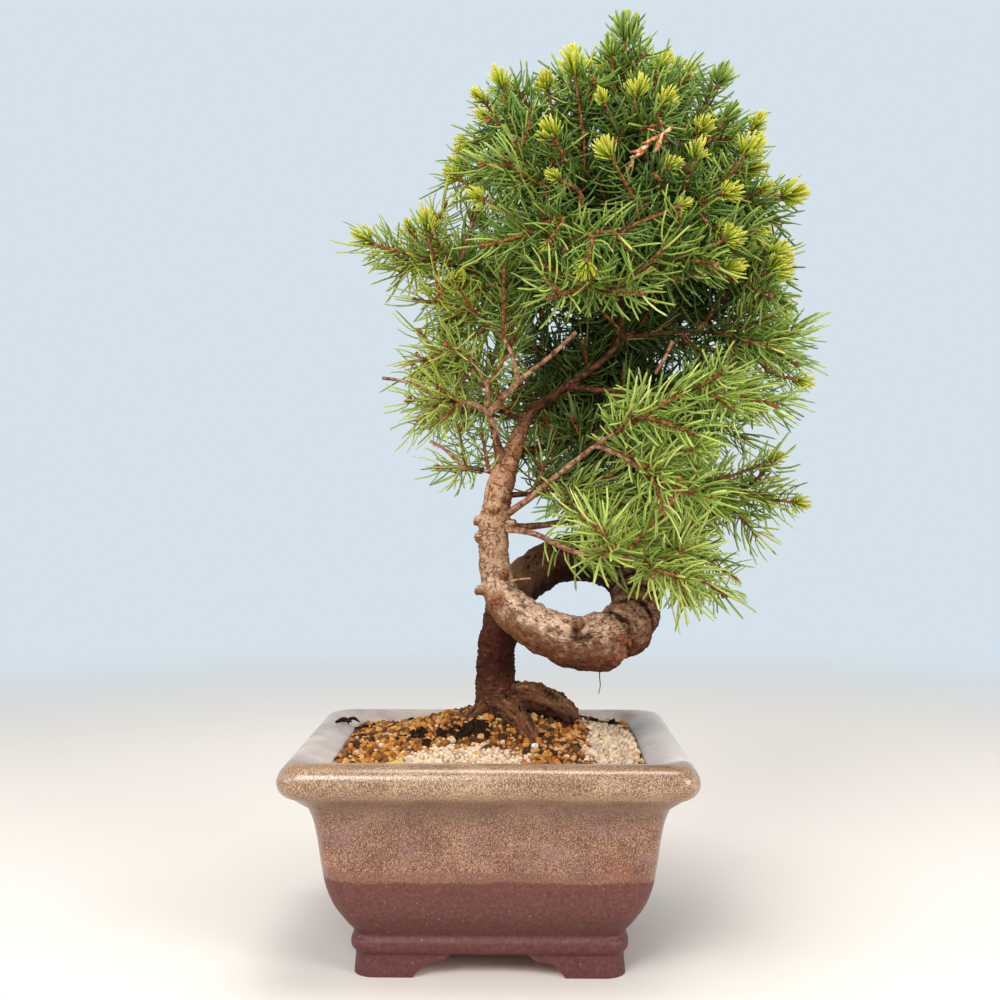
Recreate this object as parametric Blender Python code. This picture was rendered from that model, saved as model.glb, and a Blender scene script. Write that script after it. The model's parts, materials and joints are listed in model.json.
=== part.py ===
"""A spruce grown as a bonsai, with one full coil in its trunk, in a rectangular glazed pot.

Metres, +Z up, standing on Z = 0, with the front towards -Y.  The pieces are laid out from the middle of
the pot, and one empty then carries them all to where the middle of the whole tree is the origin.
"""

import math
import random
from collections import namedtuple

import bmesh
import bpy
import numpy as np
from mathutils import Vector

MM = 0.001
GAP = 0.3 * MM

# Pot: half widths and heights up its outside and its inside, and the roll of its lip.
RIM_WIDTH = 166.0 * MM
RIM_DEPTH = 142.0 * MM
POT_HEIGHT = 91.0 * MM
LIP_RADIUS = 7.5 * MM
LIP_STEPS = 6
LIP_FIRST_TURN = math.radians(-70.0)
LIP_LAST_TURN = math.radians(90.0)
OUTSIDE = [(55.9, 0.0), (55.3, 8.3), (56.1, 9.8), (56.95, 11.6), (56.95, 14.4), (55.9, 16.3), (56.3, 18.1),
           (59.8, 23.5), (63.4, 30.0), (65.75, 36.7), (66.9, 41.9), (68.2, 50.7), (69.3, 59.4),
           (70.7, 66.4), (72.4, 71.4)]
INSIDE = [(64.6, 91.0), (63.5, 90.0), (63.4, 80.0), (62.6, 66.0), (61.0, 50.0), (58.5, 38.0),
          (54.0, 28.5), (48.5, 22.0), (43.0, 17.6), (41.0, 16.0)]
OUTER_CORNER = 9.0 * MM
INNER_CORNER = 6.0 * MM
CORNER_STEPS = 3

# The arch between two feet, from the ground up: half width and height.
ARCH = [(31.6, 0.0), (28.3, 3.0), (26.5, 5.1), (24.1, 6.0), (20.0, 6.5), (17.6, 7.7), (15.2, 9.8)]
SIDE_ARCH_SCALE = 0.72
DRAIN_PLACES = (-27.0 * MM, 27.0 * MM)
DRAIN_RADIUS = 6.5 * MM
DRAIN_SIDES = 20

# A drain net: square holes between crossing strands.
NET_HOLES = 2
NET_HOLE = 5.0 * MM
NET_STRAND = 2.0 * MM
NET_THICKNESS = 1.0 * MM

# Soil: its height at the wall, and the mound round the foot of the trunk.
SOIL_FLOOR = 17.0 * MM
SOIL_EDGE = 87.5 * MM
MOUND_HEIGHT = 16.0 * MM
MOUND_PLACE = (3.0 * MM, 5.0 * MM)
MOUND_SPREAD = (25.0 * MM, 20.0 * MM)
SOIL_GRAIN = 1.0 * MM
SOIL_EDGE_STEPS = 4
SOIL_RINGS = 7

# Pumice: middle and half widths of each oval patch, and the level that its pocket in the soil goes down to.
PUMICE = {"front": (-12.0, -35.0, 24.0, 13.0), "right": (51.0, -4.0, 10.0, 40.0)}
PUMICE_SIDES = 18
PUMICE_RINGS = 3
PUMICE_FLOOR = 84.0 * MM
PUMICE_RISE = 0.8 * MM

# Tree: places along each stem and its half thickness there, in millimetres from the middle of the pot.
TRUNK = [(3, 4, 87, 10.5), (3, 4, 95, 11.0), (2.5, 5, 104, 9.8), (2, 6, 114, 8.8), (2, 7, 125, 8.5),
         (4, 8, 137, 8.5), (7, 11, 148, 9.0), (14, 18, 157, 9.6), (25, 25, 164, 10.1), (37, 27, 167, 10.5),
         (49, 22, 166, 10.5), (59, 12, 161, 10.3), (63, -1, 154, 10.3), (62.5, -14, 145, 10.8),
         (57, -24, 138, 11.6), (47, -29, 134, 12.1), (36, -31, 135, 11.2), (24, -30, 139, 9.8),
         (13, -27, 145, 8.8), (5, -22, 153, 7.8), (2, -18, 163, 6.8), (1, -16, 177, 6.4),
         (2, -14, 189, 6.1), (4, -12, 200, 5.8), (7, -10, 210, 5.2)]
TRUNK_STEPS = 2
TRUNK_SIDES = 10
TRUNK_LUMP = 0.035
STUMP_POINTS = 8
ROOT_GAP = 0.4 * MM
LEADER = [(6.5, -10.5, 208, 4.8), (12, -7, 221, 4.1), (17, -3, 232, 3.5), (26, 0, 239, 3.0), (37, 2, 247, 2.6),
          (48, 2, 255, 2.3), (57, 0, 266, 2.1), (56, -3, 281, 1.9), (54, -4, 294, 1.8), (55, -3, 310, 1.7),
          (57, -1, 326, 1.6), (59, 0, 344, 1.4), (59, 1, 360, 1.3), (59, 0, 374, 1.2)]
ROOTS = [[(5, 4, 103, 7.0), (14, 2, 103.5, 6.0), (24, -1, 101, 4.8), (33, -3, 96, 4.0), (38, -4, 88, 2.6)],
         [(3, 0, 103, 7.0), (9, -9, 101, 5.4), (16, -18, 98, 4.4), (20, -24, 93, 3.0), (22, -27, 86, 2.0)],
         [(1, 2, 102, 6.5), (-7, -3, 99, 4.8), (-13, -6, 93, 3.4), (-17, -8, 86, 2.4)],
         [(2, 8, 102, 6.5), (-2, 17, 99, 4.6), (-4, 25, 92, 3.2), (-5, 29, 84, 2.2)],
         [(5, 9, 102, 6.0), (14, 16, 99, 4.4), (21, 22, 92, 3.0), (24, 25, 84, 2.0)]]
KNOBS = [(1, -16, 184, -8.5, 1, 1.5), (1, -16, 178, -8.0, -2, 0), (2, -20, 157, -8.5, -3, -1.5),
         (3, -13, 183, 8.0, -5, 1), (46, -29, 136, -4, -13, 3)]
KNOB_RADII = (2.6 * MM, 2.3 * MM, 1.5 * MM)
BARE_STUB = [(-1, -17, 231, 1.9), (12, -24, 244, 1.7), (25, -28, 254, 1.5), (36, -30, 264, 1.3)]

# Limbs: the bare wood, the tip of the spray that ends it, and the tips of that spray's side shoots.
Limb = namedtuple("Limb", "name wood tip side_tips")
LIMBS = [
    Limb("low_right", [(4, -13, 182, 2.6), (24, 4, 183, 2.2), (44, 17, 187, 2.0), (64, 18, 190, 1.8),
                       (82, 8, 194, 1.5), (94, 2, 197, 1.3)],
         (137, -10, 195), [(129, 8, 173), (126, -24, 212), (118, 28, 190)]),
    Limb("low_front", [(5, -17, 182, 2.2), (18, -26, 180, 1.9), (27, -34, 176, 1.7), (38, -41, 172, 1.5),
                       (50, -45, 171, 1.4), (62, -46, 171, 1.2)],
         (105, -30, 151), [(86, -48, 146), (66, -66, 160), (92, -58, 178)]),
    Limb("low_back", [(48, 18, 188, 1.7), (58, 30, 187, 1.5), (68, 38, 185, 1.3)],
         (98, 62, 174), [(104, 42, 166), (68, 70, 186), (88, 60, 198)]),
    Limb("inner_right", [(5, -12, 196, 1.8), (20, -8, 197, 1.5), (31, -4, 199, 1.3)],
         (64, 0, 208), [(56, -28, 194), (46, 20, 206)]),
    Limb("pale_right", [(4, -14, 186, 2.4), (17, -24, 195, 2.0), (25, -33, 202, 1.8), (34, -42, 209, 1.6),
                        (43, -49, 216, 1.4), (51, -53, 221, 1.2)],
         (83, -70, 240), [(58, -74, 234), (92, -62, 218)]),
    Limb("pale_fork", [(43, -49, 216, 1.3), (54, -51, 211, 1.2), (63, -52, 204, 1.2)],
         (96, -62, 192), [(72, -75, 206), (70, -70, 184)]),
    Limb("mid_front", [(33, 1, 244, 2.0), (48, -14, 241, 1.7), (64, -26, 239, 1.5), (78, -33, 240, 1.3)],
         (126, -38, 231), [(100, -56, 248), (104, -60, 226), (116, -16, 246)]),
    Limb("mid_right", [(57, 0, 265, 1.9), (69, -5, 266, 1.6), (84, -8, 267, 1.4), (98, -6, 267, 1.2)],
         (142, 0, 250), [(144, 20, 267), (128, -22, 274), (126, -32, 254)]),
    Limb("mid_back_right", [(8, -10, 213, 2.4), (24, 4, 218, 2.1), (38, 16, 221, 1.8), (54, 26, 225, 1.6),
                            (70, 33, 229, 1.4), (82, 38, 231, 1.2)],
         (122, 46, 236), [(110, 60, 220), (98, 68, 246), (126, 26, 220)]),
    Limb("mid_back", [(24, -1, 237, 2.0), (25, 14, 240, 1.7), (29, 28, 243, 1.5), (34, 38, 245, 1.3)],
         (44, 76, 250), [(18, 66, 240), (68, 66, 234), (40, 62, 222)]),
    Limb("left_limb", [(6, -11, 207, 3.0), (2, -14, 221, 2.4), (-1, -16, 231, 2.0), (-8, -19, 235, 1.6),
                       (-14, -19, 236, 1.3)],
         (-43, -26, 236), [(-41, -8, 222), (-28, -40, 246)]),
    Limb("left_twig", [(6, -13, 204, 1.6), (-4, -10, 207, 1.2)],
         (-32, -4, 209), [(-22, 14, 206)]),
    Limb("left_up", [(-1, -16, 231, 1.7), (-2, -15, 243, 1.5), (-7, -13, 253, 1.2)],
         (-43, -10, 254), [(-38, -16, 270), (-22, -42, 260)]),
    Limb("back_left_low", [(15, -4, 229, 2.0), (6, 10, 233, 1.7), (-2, 22, 237, 1.3)],
         (-30, 40, 242), [(-8, 58, 232), (-36, 18, 230)]),
    Limb("inner_left", [(12, -24, 243, 1.5), (9, -21, 256, 1.4), (3, -18, 266, 1.3), (-5, -15, 272, 1.2)],
         (-41, -4, 284), [(-18, -36, 288), (-30, 14, 270)]),
    Limb("left_lobe", [(54, -4, 287, 1.7), (38, 0, 287, 1.6), (18, 0, 289, 1.5), (-2, -2, 293, 1.4),
                       (-18, -4, 297, 1.2)],
         (-63, -8, 308), [(-38, 10, 319), (-27, -24, 314), (-50, 12, 294)]),
    Limb("front_low", [(56, -3, 277, 1.5), (50, -16, 279, 1.4), (44, -29, 280, 1.2)],
         (40, -73, 284), [(20, -64, 272), (13, -50, 293), (64, -68, 274)]),
    Limb("front_right", [(54, -4, 291, 1.5), (62, -17, 292, 1.4), (70, -29, 293, 1.2)],
         (97, -56, 287), [(78, -62, 311), (106, -34, 304)]),
    Limb("back_left", [(54, -4, 298, 1.6), (38, 8, 297, 1.5), (22, 18, 297, 1.3), (10, 24, 298, 1.2)],
         (-22, 42, 302), [(-4, 60, 288), (12, 54, 314), (-30, 22, 286)]),
    Limb("back_mid", [(56, 0, 268, 1.7), (60, 16, 270, 1.5), (64, 30, 272, 1.3)],
         (72, 78, 276), [(98, 62, 270), (44, 70, 284), (54, 64, 262)]),
    Limb("right_mid", [(56, -3, 283, 1.6), (72, 2, 286, 1.4), (88, 4, 289, 1.3), (98, 3, 291, 1.2)],
         (132, -6, 307), [(130, -20, 291), (134, 20, 292)]),
    Limb("back_right", [(55, -3, 304, 1.5), (70, 12, 305, 1.4), (84, 24, 305, 1.2)],
         (118, 48, 302), [(104, 60, 318), (88, 68, 294), (124, 32, 320)]),
    Limb("right_upper", [(57, -1, 319, 1.5), (74, 2, 321, 1.4), (90, 4, 324, 1.3), (100, 5, 326, 1.2)],
         (136, 5, 331), [(118, -4, 346), (122, 28, 336), (118, -22, 320)]),
    Limb("front_upper", [(56, -2, 313, 1.4), (66, -11, 315, 1.3), (75, -20, 316, 1.2)],
         (96, -38, 322), [(92, -50, 305), (82, -42, 337), (66, -52, 327)]),
    Limb("front_left", [(55, -3, 307, 1.5), (44, -14, 305, 1.4), (32, -24, 304, 1.2)],
         (6, -46, 304), [(17, -50, 318), (38, -62, 306), (-4, -24, 304)]),
    Limb("left_upper", [(57, -1, 325, 1.4), (42, -8, 329, 1.3), (28, -14, 331, 1.2)],
         (-4, -27, 334), [(26, -40, 347), (-20, -2, 340), (4, -26, 350)]),
    Limb("back_upper", [(57, -1, 329, 1.4), (51, 14, 328, 1.3), (45, 26, 329, 1.2)],
         (30, 60, 334), [(62, 62, 342), (8, 44, 342), (48, 56, 318)]),
    Limb("crown_far_left", [(58, 0, 338, 1.3), (44, 2, 344, 1.2), (32, 1, 350, 1.2)],
         (5, -10, 380), [(-4, 12, 373), (12, 26, 358), (-16, 10, 356)]),
    Limb("crown_left", [(59, 1, 351, 1.3), (50, -1, 356, 1.2), (44, -4, 364, 1.2)],
         (37, -8, 391), [(25, 12, 388), (44, -24, 378)]),
    Limb("crown_back", [(59, 1, 357, 1.3), (63, 12, 364, 1.2)],
         (80, 26, 396), [(50, 30, 394), (62, 48, 374), (90, 44, 372)]),
    Limb("crown_right", [(59, 0, 344, 1.3), (74, 2, 348, 1.2), (86, 2, 352, 1.2)],
         (100, 0, 384), [(119, 6, 362), (110, 26, 366), (112, -16, 348)]),
    Limb("crown_front", [(59, 0, 347, 1.3), (60, -11, 348, 1.2)],
         (61, -27, 368), [(78, -16, 368), (47, -46, 338), (74, -46, 348)]),
]
APEX = Limb("apex", None, (59, 0, 409), [(48, 10, 396), (72, -8, 396)])
LIMB_SIDES = 5
LIMB_STEPS = 1

# Shoots: a slim twig with needles all round it, closer at its tip.
TWIG_SIDES = 4
TWIG_RADII = (1.25 * MM, 0.9 * MM)
TWIG_STEPS = 4
TWIG_PULL = 0.35
TWIG_GAP = 0.55 * MM
TIP_NEEDLES_REACH = 8.0 * MM
SHOOT_ANGLE = math.radians(50.0)
NEEDLE_LENGTH = 12.5 * MM
NEEDLE_RADIUS = 0.6 * MM
NEEDLE_SPACING = 5.8 * MM
NEEDLE_LEAN = math.radians(58.0)
TIP_NEEDLES = 3
TIP_LEAN = math.radians(26.0)
GOLDEN_TURN = math.radians(137.5)
CLEARANCE = 0.35 * MM
CLEARANCE_SAMPLES = 16
BEND_TRIES = 8
BEND_TURN = math.radians(25.0)
SHARP_ANGLE = math.radians(45.0)


def clear_scene():
    """Take away whatever the open file holds."""
    for thing in list(bpy.data.objects):
        bpy.data.objects.remove(thing, do_unlink=True)


def material(name, colour, roughness):
    """A plain finish for one piece."""
    finish = bpy.data.materials.new(name)
    finish.use_nodes = True
    shader = finish.node_tree.nodes["Principled BSDF"]
    shader.inputs["Base Color"].default_value = (*colour, 1.0)
    shader.inputs["Roughness"].default_value = roughness
    shader.inputs["Metallic"].default_value = 0.0
    finish.diffuse_color = (*colour, 1.0)
    return finish


def make_object(name, body, smooth=True):
    """An object in the scene from a bmesh."""
    mesh = bpy.data.meshes.new(name)
    body.to_mesh(mesh)
    body.free()
    if smooth:
        mesh.shade_smooth()
        mesh.set_sharp_from_angle(angle=SHARP_ANGLE)
    thing = bpy.data.objects.new(name, mesh)
    bpy.context.scene.collection.objects.link(thing)
    return thing


def bridge(body, rings):
    """Walls between rings that run anticlockwise seen from the last ring's side, and the two end caps."""
    for lower, upper in zip(rings, rings[1:]):
        for k in range(len(lower)):
            after = (k + 1) % len(lower)
            body.faces.new((lower[k], lower[after], upper[after], upper[k]))
    body.faces.new(rings[0][::-1])
    body.faces.new(rings[-1])


def bake(thing):
    """Turn an object's modifiers into its own mesh."""
    graph = bpy.context.evaluated_depsgraph_get()
    mesh = bpy.data.meshes.new_from_object(thing.evaluated_get(graph))
    thing.modifiers.clear()
    thing.data = mesh


def join(body, pieces):
    """Fuse pieces into a body with one Boolean union."""
    group = bpy.data.collections.new(body.name + "_pieces")
    bpy.context.scene.collection.children.link(group)
    for piece in pieces:
        group.objects.link(piece)
        bpy.context.scene.collection.objects.unlink(piece)
    union = body.modifiers.new("joined", "BOOLEAN")
    union.operation = "UNION"
    union.operand_type = "COLLECTION"
    union.collection = group
    bake(body)
    for piece in pieces:
        bpy.data.objects.remove(piece, do_unlink=True)
    bpy.data.collections.remove(group)
    keep_largest(body)


def cut(body, cutter):
    """Take a cutter's shape out of a body."""
    difference = body.modifiers.new("cut", "BOOLEAN")
    difference.operation = "DIFFERENCE"
    difference.object = cutter
    bake(body)
    bpy.data.objects.remove(cutter, do_unlink=True)
    keep_largest(body)


def keep_largest(thing):
    """Drop loose scraps, so that one closed body is left."""
    body = bmesh.new()
    body.from_mesh(thing.data)
    left = set(body.verts)
    islands = []
    while left:
        island = {left.pop()}
        front = list(island)
        while front:
            near = [edge.other_vert(vert) for vert in front for edge in vert.link_edges]
            front = [vert for vert in set(near) if vert in left]
            left.difference_update(front)
            island.update(front)
        islands.append(island)
    largest = max(islands, key=len)
    bmesh.ops.delete(body, geom=[vert for vert in body.verts if vert not in largest], context="VERTS")
    body.to_mesh(thing.data)
    body.free()


def rounded_ring(half_width, half_depth, corner, height, edge_steps=1):
    """Places round a rectangle with arcs at its corners, anticlockwise from above."""
    arcs = []
    for quarter, (to_right, to_back) in enumerate([(1, 1), (-1, 1), (-1, -1), (1, -1)]):
        middle = Vector((to_right * (half_width - corner), to_back * (half_depth - corner), height))
        turns = [math.tau / 4.0 * (quarter + step / CORNER_STEPS) for step in range(CORNER_STEPS + 1)]
        arcs.append([middle + Vector((math.cos(t), math.sin(t), 0.0)) * corner for t in turns])
    places = []
    for arc, next_arc in zip(arcs, arcs[1:] + arcs[:1]):
        places += arc
        places += [arc[-1].lerp(next_arc[0], step / edge_steps) for step in range(1, edge_steps)]
    return places


def pot_ring(half_width, height, corner, inset=0.0, edge_steps=1):
    """One level of the pot, whose depth is less than its width by the same amount at every height."""
    narrower = (RIM_WIDTH - RIM_DEPTH) / 2.0
    return rounded_ring(half_width - inset, half_width - narrower - inset, corner, height, edge_steps)


def pot_profile():
    """Half width, height and corner radius, up the outside, over the lip and down the inside."""
    levels = [(width * MM, height * MM, OUTER_CORNER) for width, height in OUTSIDE]
    for step in range(LIP_STEPS + 1):
        turn = LIP_FIRST_TURN + (LIP_LAST_TURN - LIP_FIRST_TURN) * step / LIP_STEPS
        width = RIM_WIDTH / 2.0 - LIP_RADIUS + LIP_RADIUS * math.cos(turn)
        height = POT_HEIGHT - LIP_RADIUS + LIP_RADIUS * math.sin(turn)
        levels.append((width, height, OUTER_CORNER))
    levels += [(width * MM, height * MM, INNER_CORNER) for width, height in INSIDE]
    return levels


def arch_cutter(name, scale, reach, along_x):
    """A prism of the stepped arch, long enough to pass under the whole pot."""
    half = [(width * scale * MM, height * MM) for width, height in ARCH]
    half[0] = (half[0][0], -MM)
    outline = half + [(-width, height) for width, height in reversed(half)]
    body = bmesh.new()
    rings = []
    for end in (reach, -reach):
        if along_x:
            rings.append([body.verts.new((-end, width, height)) for width, height in outline])
        else:
            rings.append([body.verts.new((width, end, height)) for width, height in outline])
    bridge(body, rings)
    return make_object(name, body)


def disc_cutter(name, place, radius, low, high):
    """An upright cylinder."""
    body = bmesh.new()
    rings = []
    for height in (low, high):
        turns = [math.tau * k / DRAIN_SIDES for k in range(DRAIN_SIDES)]
        circle = [(place + radius * math.cos(turn), radius * math.sin(turn), height) for turn in turns]
        rings.append([body.verts.new(point) for point in circle])
    bridge(body, rings)
    return make_object(name, body)


def make_pot():
    """The pot, with the arches between its feet and the holes in its floor."""
    body = bmesh.new()
    rings = []
    for width, height, corner in pot_profile():
        rings.append([body.verts.new(place) for place in pot_ring(width, height, corner)])
    bridge(body, rings)
    pot = make_object("pot", body)
    cut(pot, arch_cutter("arch_front", 1.0, RIM_DEPTH / 2.0, False))
    cut(pot, arch_cutter("arch_side", SIDE_ARCH_SCALE, RIM_WIDTH / 2.0, True))
    floor = INSIDE[-1][1] * MM
    for place in DRAIN_PLACES:
        cut(pot, disc_cutter("drain", place, DRAIN_RADIUS, floor / 2.0, floor + MM))
    pot.data.materials.append(material("pot", (0.36, 0.24, 0.18), 0.35))
    return pot


def make_net(name, place, finish):
    """A flat square net that covers a drainage hole."""
    marks = [0.0]
    for cell in range(2 * NET_HOLES + 1):
        marks.append(marks[-1] + (NET_STRAND if cell % 2 == 0 else NET_HOLE))
    middle = marks[-1] / 2.0
    low = INSIDE[-1][1] * MM + GAP
    count = len(marks)
    body = bmesh.new()
    levels = []
    for height in (low, low + NET_THICKNESS):
        grid = [[body.verts.new((place + x - middle, y - middle, height)) for y in marks] for x in marks]
        levels.append(grid)
    below, above = levels

    def filled(i, j):
        inside = 0 <= i < count - 1 and 0 <= j < count - 1
        return inside and (i % 2 == 0 or j % 2 == 0)

    for i in range(count - 1):
        for j in range(count - 1):
            if not filled(i, j):
                continue
            corners = [(i, j), (i + 1, j), (i + 1, j + 1), (i, j + 1)]
            body.faces.new([above[a][b] for a, b in corners])
            body.faces.new([below[a][b] for a, b in reversed(corners)])
            beside = [(i, j - 1), (i + 1, j), (i, j + 1), (i - 1, j)]
            for k in range(4):
                if not filled(*beside[k]):
                    (a, b), (c, d) = corners[k], corners[(k + 1) % 4]
                    body.faces.new((below[a][b], below[c][d], above[c][d], above[a][b]))
    net = make_object(name, body, smooth=False)
    net.data.materials.append(finish)
    return net


def soil_height(x, y):
    """Level of the soil, without its grain."""
    across = (x - MOUND_PLACE[0]) / MOUND_SPREAD[0]
    deep = (y - MOUND_PLACE[1]) / MOUND_SPREAD[1]
    return SOIL_EDGE + MOUND_HEIGHT * math.exp(-(across * across + deep * deep) / 2.0)


def make_soil(roots):
    """The soil fills the pot to just under its lip, with pockets for the pumice and the roots."""
    grain = random.Random(4)
    body = bmesh.new()
    rings = []
    walls = [(width * MM, height * MM) for width, height in reversed(INSIDE)]
    walls = [(width, height) for width, height in walls if SOIL_FLOOR < height < SOIL_EDGE]
    walls.append((INSIDE[1][0] * MM, SOIL_EDGE))
    for width, height in walls:
        places = pot_ring(width, height, INNER_CORNER, GAP, SOIL_EDGE_STEPS)
        rings.append([body.verts.new(place) for place in places])
    middle = Vector((*MOUND_PLACE, 0.0))
    for ring in range(1, SOIL_RINGS):
        shrink = 1.0 - ring / SOIL_RINGS
        level = []
        for vert in rings[len(walls) - 1]:
            place = middle.lerp(vert.co, shrink)
            height = soil_height(place.x, place.y) + grain.uniform(-SOIL_GRAIN, SOIL_GRAIN)
            level.append(body.verts.new((place.x, place.y, height)))
        rings.append(level)
    bridge(body, rings)
    bmesh.ops.triangulate(body, faces=body.faces)
    soil = make_object("soil", body, smooth=False)
    for name in PUMICE:
        cut(soil, pumice_body(name, GAP, PUMICE_FLOOR - GAP, POT_HEIGHT + MOUND_HEIGHT))
    for root in roots:
        cut(soil, root)
    soil.data.materials.append(material("soil", (0.42, 0.22, 0.09), 0.95))
    return soil


def pumice_body(name, grow, low, top=None):
    """An oval patch: upright walls from a flat floor, with a grainy top or, for its pocket, a flat one."""
    grain = random.Random(11)
    x_middle, y_middle, half_width, half_depth = [value * MM for value in PUMICE[name]]
    body = bmesh.new()
    rings = []
    for ring in range(-1, PUMICE_RINGS):
        shrink = 1.0 - max(ring, 0) / PUMICE_RINGS
        level = []
        for k in range(PUMICE_SIDES):
            turn = math.tau * k / PUMICE_SIDES
            x = x_middle + (half_width + grow) * shrink * math.cos(turn)
            y = y_middle + (half_depth + grow) * shrink * math.sin(turn)
            height = soil_height(x, y) + PUMICE_RISE + grain.uniform(-SOIL_GRAIN, SOIL_GRAIN) / 2.0
            if ring < 0:
                height = low
            elif top is not None:
                height = top
            level.append(body.verts.new((x, y, height)))
        rings.append(level)
        if top is not None and ring == 0:
            break
    bridge(body, rings)
    bmesh.ops.triangulate(body, faces=body.faces)
    return make_object("pumice_" + name, body, smooth=False)


def smooth_path(points, steps):
    """Places and half thicknesses along one smooth curve through hand-chosen points, in metres."""
    rows = [Vector(row[:3]).to_4d() for row in points]
    for row, point in zip(rows, points):
        row[3] = point[3]
    rows = [rows[0] * 2.0 - rows[1]] + rows + [rows[-1] * 2.0 - rows[-2]]
    path = []
    for a, b, c, d in zip(rows, rows[1:], rows[2:], rows[3:]):
        for step in range(steps):
            t = step / steps
            row = (b * 2.0 + (c - a) * t + (a * 2.0 - b * 5.0 + c * 4.0 - d) * t * t
                   + (b * 3.0 - a - c * 3.0 + d) * t * t * t) * 0.5
            path.append((row.to_3d() * MM, row[3] * MM))
    path.append((rows[-2].to_3d() * MM, rows[-2][3] * MM))
    return path


def tube(name, path, sides, lump=0.0, grow=0.0):
    """A closed round stem along a path of places and half thicknesses."""
    body = bmesh.new()
    rings = []
    across = (path[1][0] - path[0][0]).orthogonal().normalized()
    for i, (place, radius) in enumerate(path):
        along = (path[min(i + 1, len(path) - 1)][0] - path[max(i - 1, 0)][0]).normalized()
        across = (across - along * across.dot(along)).normalized()
        upward = along.cross(across)
        ring = []
        for k in range(sides):
            turn = math.tau * k / sides
            size = (radius + grow) * (1.0 + lump * math.sin(3.0 * turn + 1.7 * i))
            ring.append(body.verts.new(place + (across * math.cos(turn) + upward * math.sin(turn)) * size))
        rings.append(ring)
    bridge(body, rings)
    return make_object(name, body)


def needle(name, root, tip):
    """A three-sided needle that tapers to a point."""
    body = bmesh.new()
    along = (tip - root).normalized()
    across = along.orthogonal().normalized()
    upward = along.cross(across)
    base = []
    for k in range(3):
        turn = math.tau * k / 3.0
        base.append(body.verts.new(root + (across * math.cos(turn) + upward * math.sin(turn)) * NEEDLE_RADIUS))
    point = body.verts.new(tip)
    for k in range(3):
        body.faces.new((base[k], base[(k + 1) % 3], point))
    body.faces.new(base[::-1])
    return make_object(name, body, smooth=False)


class Room:
    """The stems and needles already placed, as straight stretches with a half thickness."""

    def __init__(self):
        self.starts = np.zeros((0, 3))
        self.ends = np.zeros((0, 3))
        self.radii = np.zeros(0)

    def add(self, stretches):
        """Take in a list of (start, end, half thickness)."""
        self.starts = np.vstack([self.starts, [tuple(start) for start, _, _ in stretches]])
        self.ends = np.vstack([self.ends, [tuple(end) for _, end, _ in stretches]])
        self.radii = np.concatenate([self.radii, [radius for _, _, radius in stretches]])

    def is_clear(self, start, end, radius):
        """Whether a straight stretch keeps its clearance from everything placed so far."""
        fractions = np.linspace(0.0, 1.0, CLEARANCE_SAMPLES)[:, None]
        places = np.array(start) * (1.0 - fractions) + np.array(end) * fractions
        run = self.ends - self.starts
        offset = places[:, None, :] - self.starts[None, :, :]
        share = np.clip((offset * run).sum(axis=2) / (run * run).sum(axis=1), 0.0, 1.0)
        gaps = np.linalg.norm(offset - share[:, :, None] * run, axis=2)
        return bool((gaps > self.radii + radius + CLEARANCE).all())


def stretches_of(path):
    """A path's straight stretches, each as thick as its thicker end."""
    return [(a[0], b[0], max(a[1], b[1])) for a, b in zip(path, path[1:])]


def main_twig(wood, tip):
    """The twig that carries on from the end of a limb's wood and bends round towards its tip."""
    end, before = wood[-1][0], wood[-2][0]
    heading = (end - before).normalized()
    root = end + heading * TWIG_GAP
    stop = tip - (tip - root).normalized() * TIP_NEEDLES_REACH
    pull = root + heading * (stop - root).length * TWIG_PULL
    path = []
    for step in range(TWIG_STEPS + 1):
        t = step / TWIG_STEPS
        place = root.lerp(pull, t).lerp(pull.lerp(stop, t), t)
        path.append((place, TWIG_RADII[0] + (TWIG_RADII[1] - TWIG_RADII[0]) * t))
    return path


def side_twig(path, tip):
    """A straight shoot that leaves a twig at the usual angle towards its tip."""
    root = leaving_place(path, tip)
    stop = tip - (tip - root).normalized() * TIP_NEEDLES_REACH
    return [(root, TWIG_RADII[1]), (stop, TWIG_RADII[1])]


def leaving_place(path, tip):
    """The place on a path from which a shoot towards tip leaves at the usual angle."""
    best = None
    for i in range(len(path) - 1):
        for t in (0.0, 0.25, 0.5, 0.75):
            place = path[i][0].lerp(path[i + 1][0], t)
            lean = (tip - place).angle(path[i + 1][0] - path[i][0])
            miss = abs(lean - SHOOT_ANGLE)
            if best is None or miss < best[0]:
                best = (miss, place)
    return best[1]


def needle_places(path, draw):
    """Roots and tips of the needles along one twig, turning round it by the golden angle."""
    length = sum((b[0] - a[0]).length for a, b in zip(path, path[1:]))
    root, end = path[0][0], path[-1][0]
    along = (end - root).normalized()
    across = along.orthogonal().normalized()
    count = int(length / NEEDLE_SPACING)
    turn = draw.uniform(0.0, math.tau)
    rows = []
    for k in range(count + TIP_NEEDLES):
        turn += GOLDEN_TURN
        at_tip = k >= count
        share = 0.97 if at_tip else (k + 0.8) / count * 0.95
        lean = TIP_LEAN if at_tip else NEEDLE_LEAN
        index = min(int(share * (len(path) - 1)), len(path) - 2)
        part = share * (len(path) - 1) - index
        place = path[index][0].lerp(path[index + 1][0], part)
        rows.append((place, along, across, turn, lean))
    return rows


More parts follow.
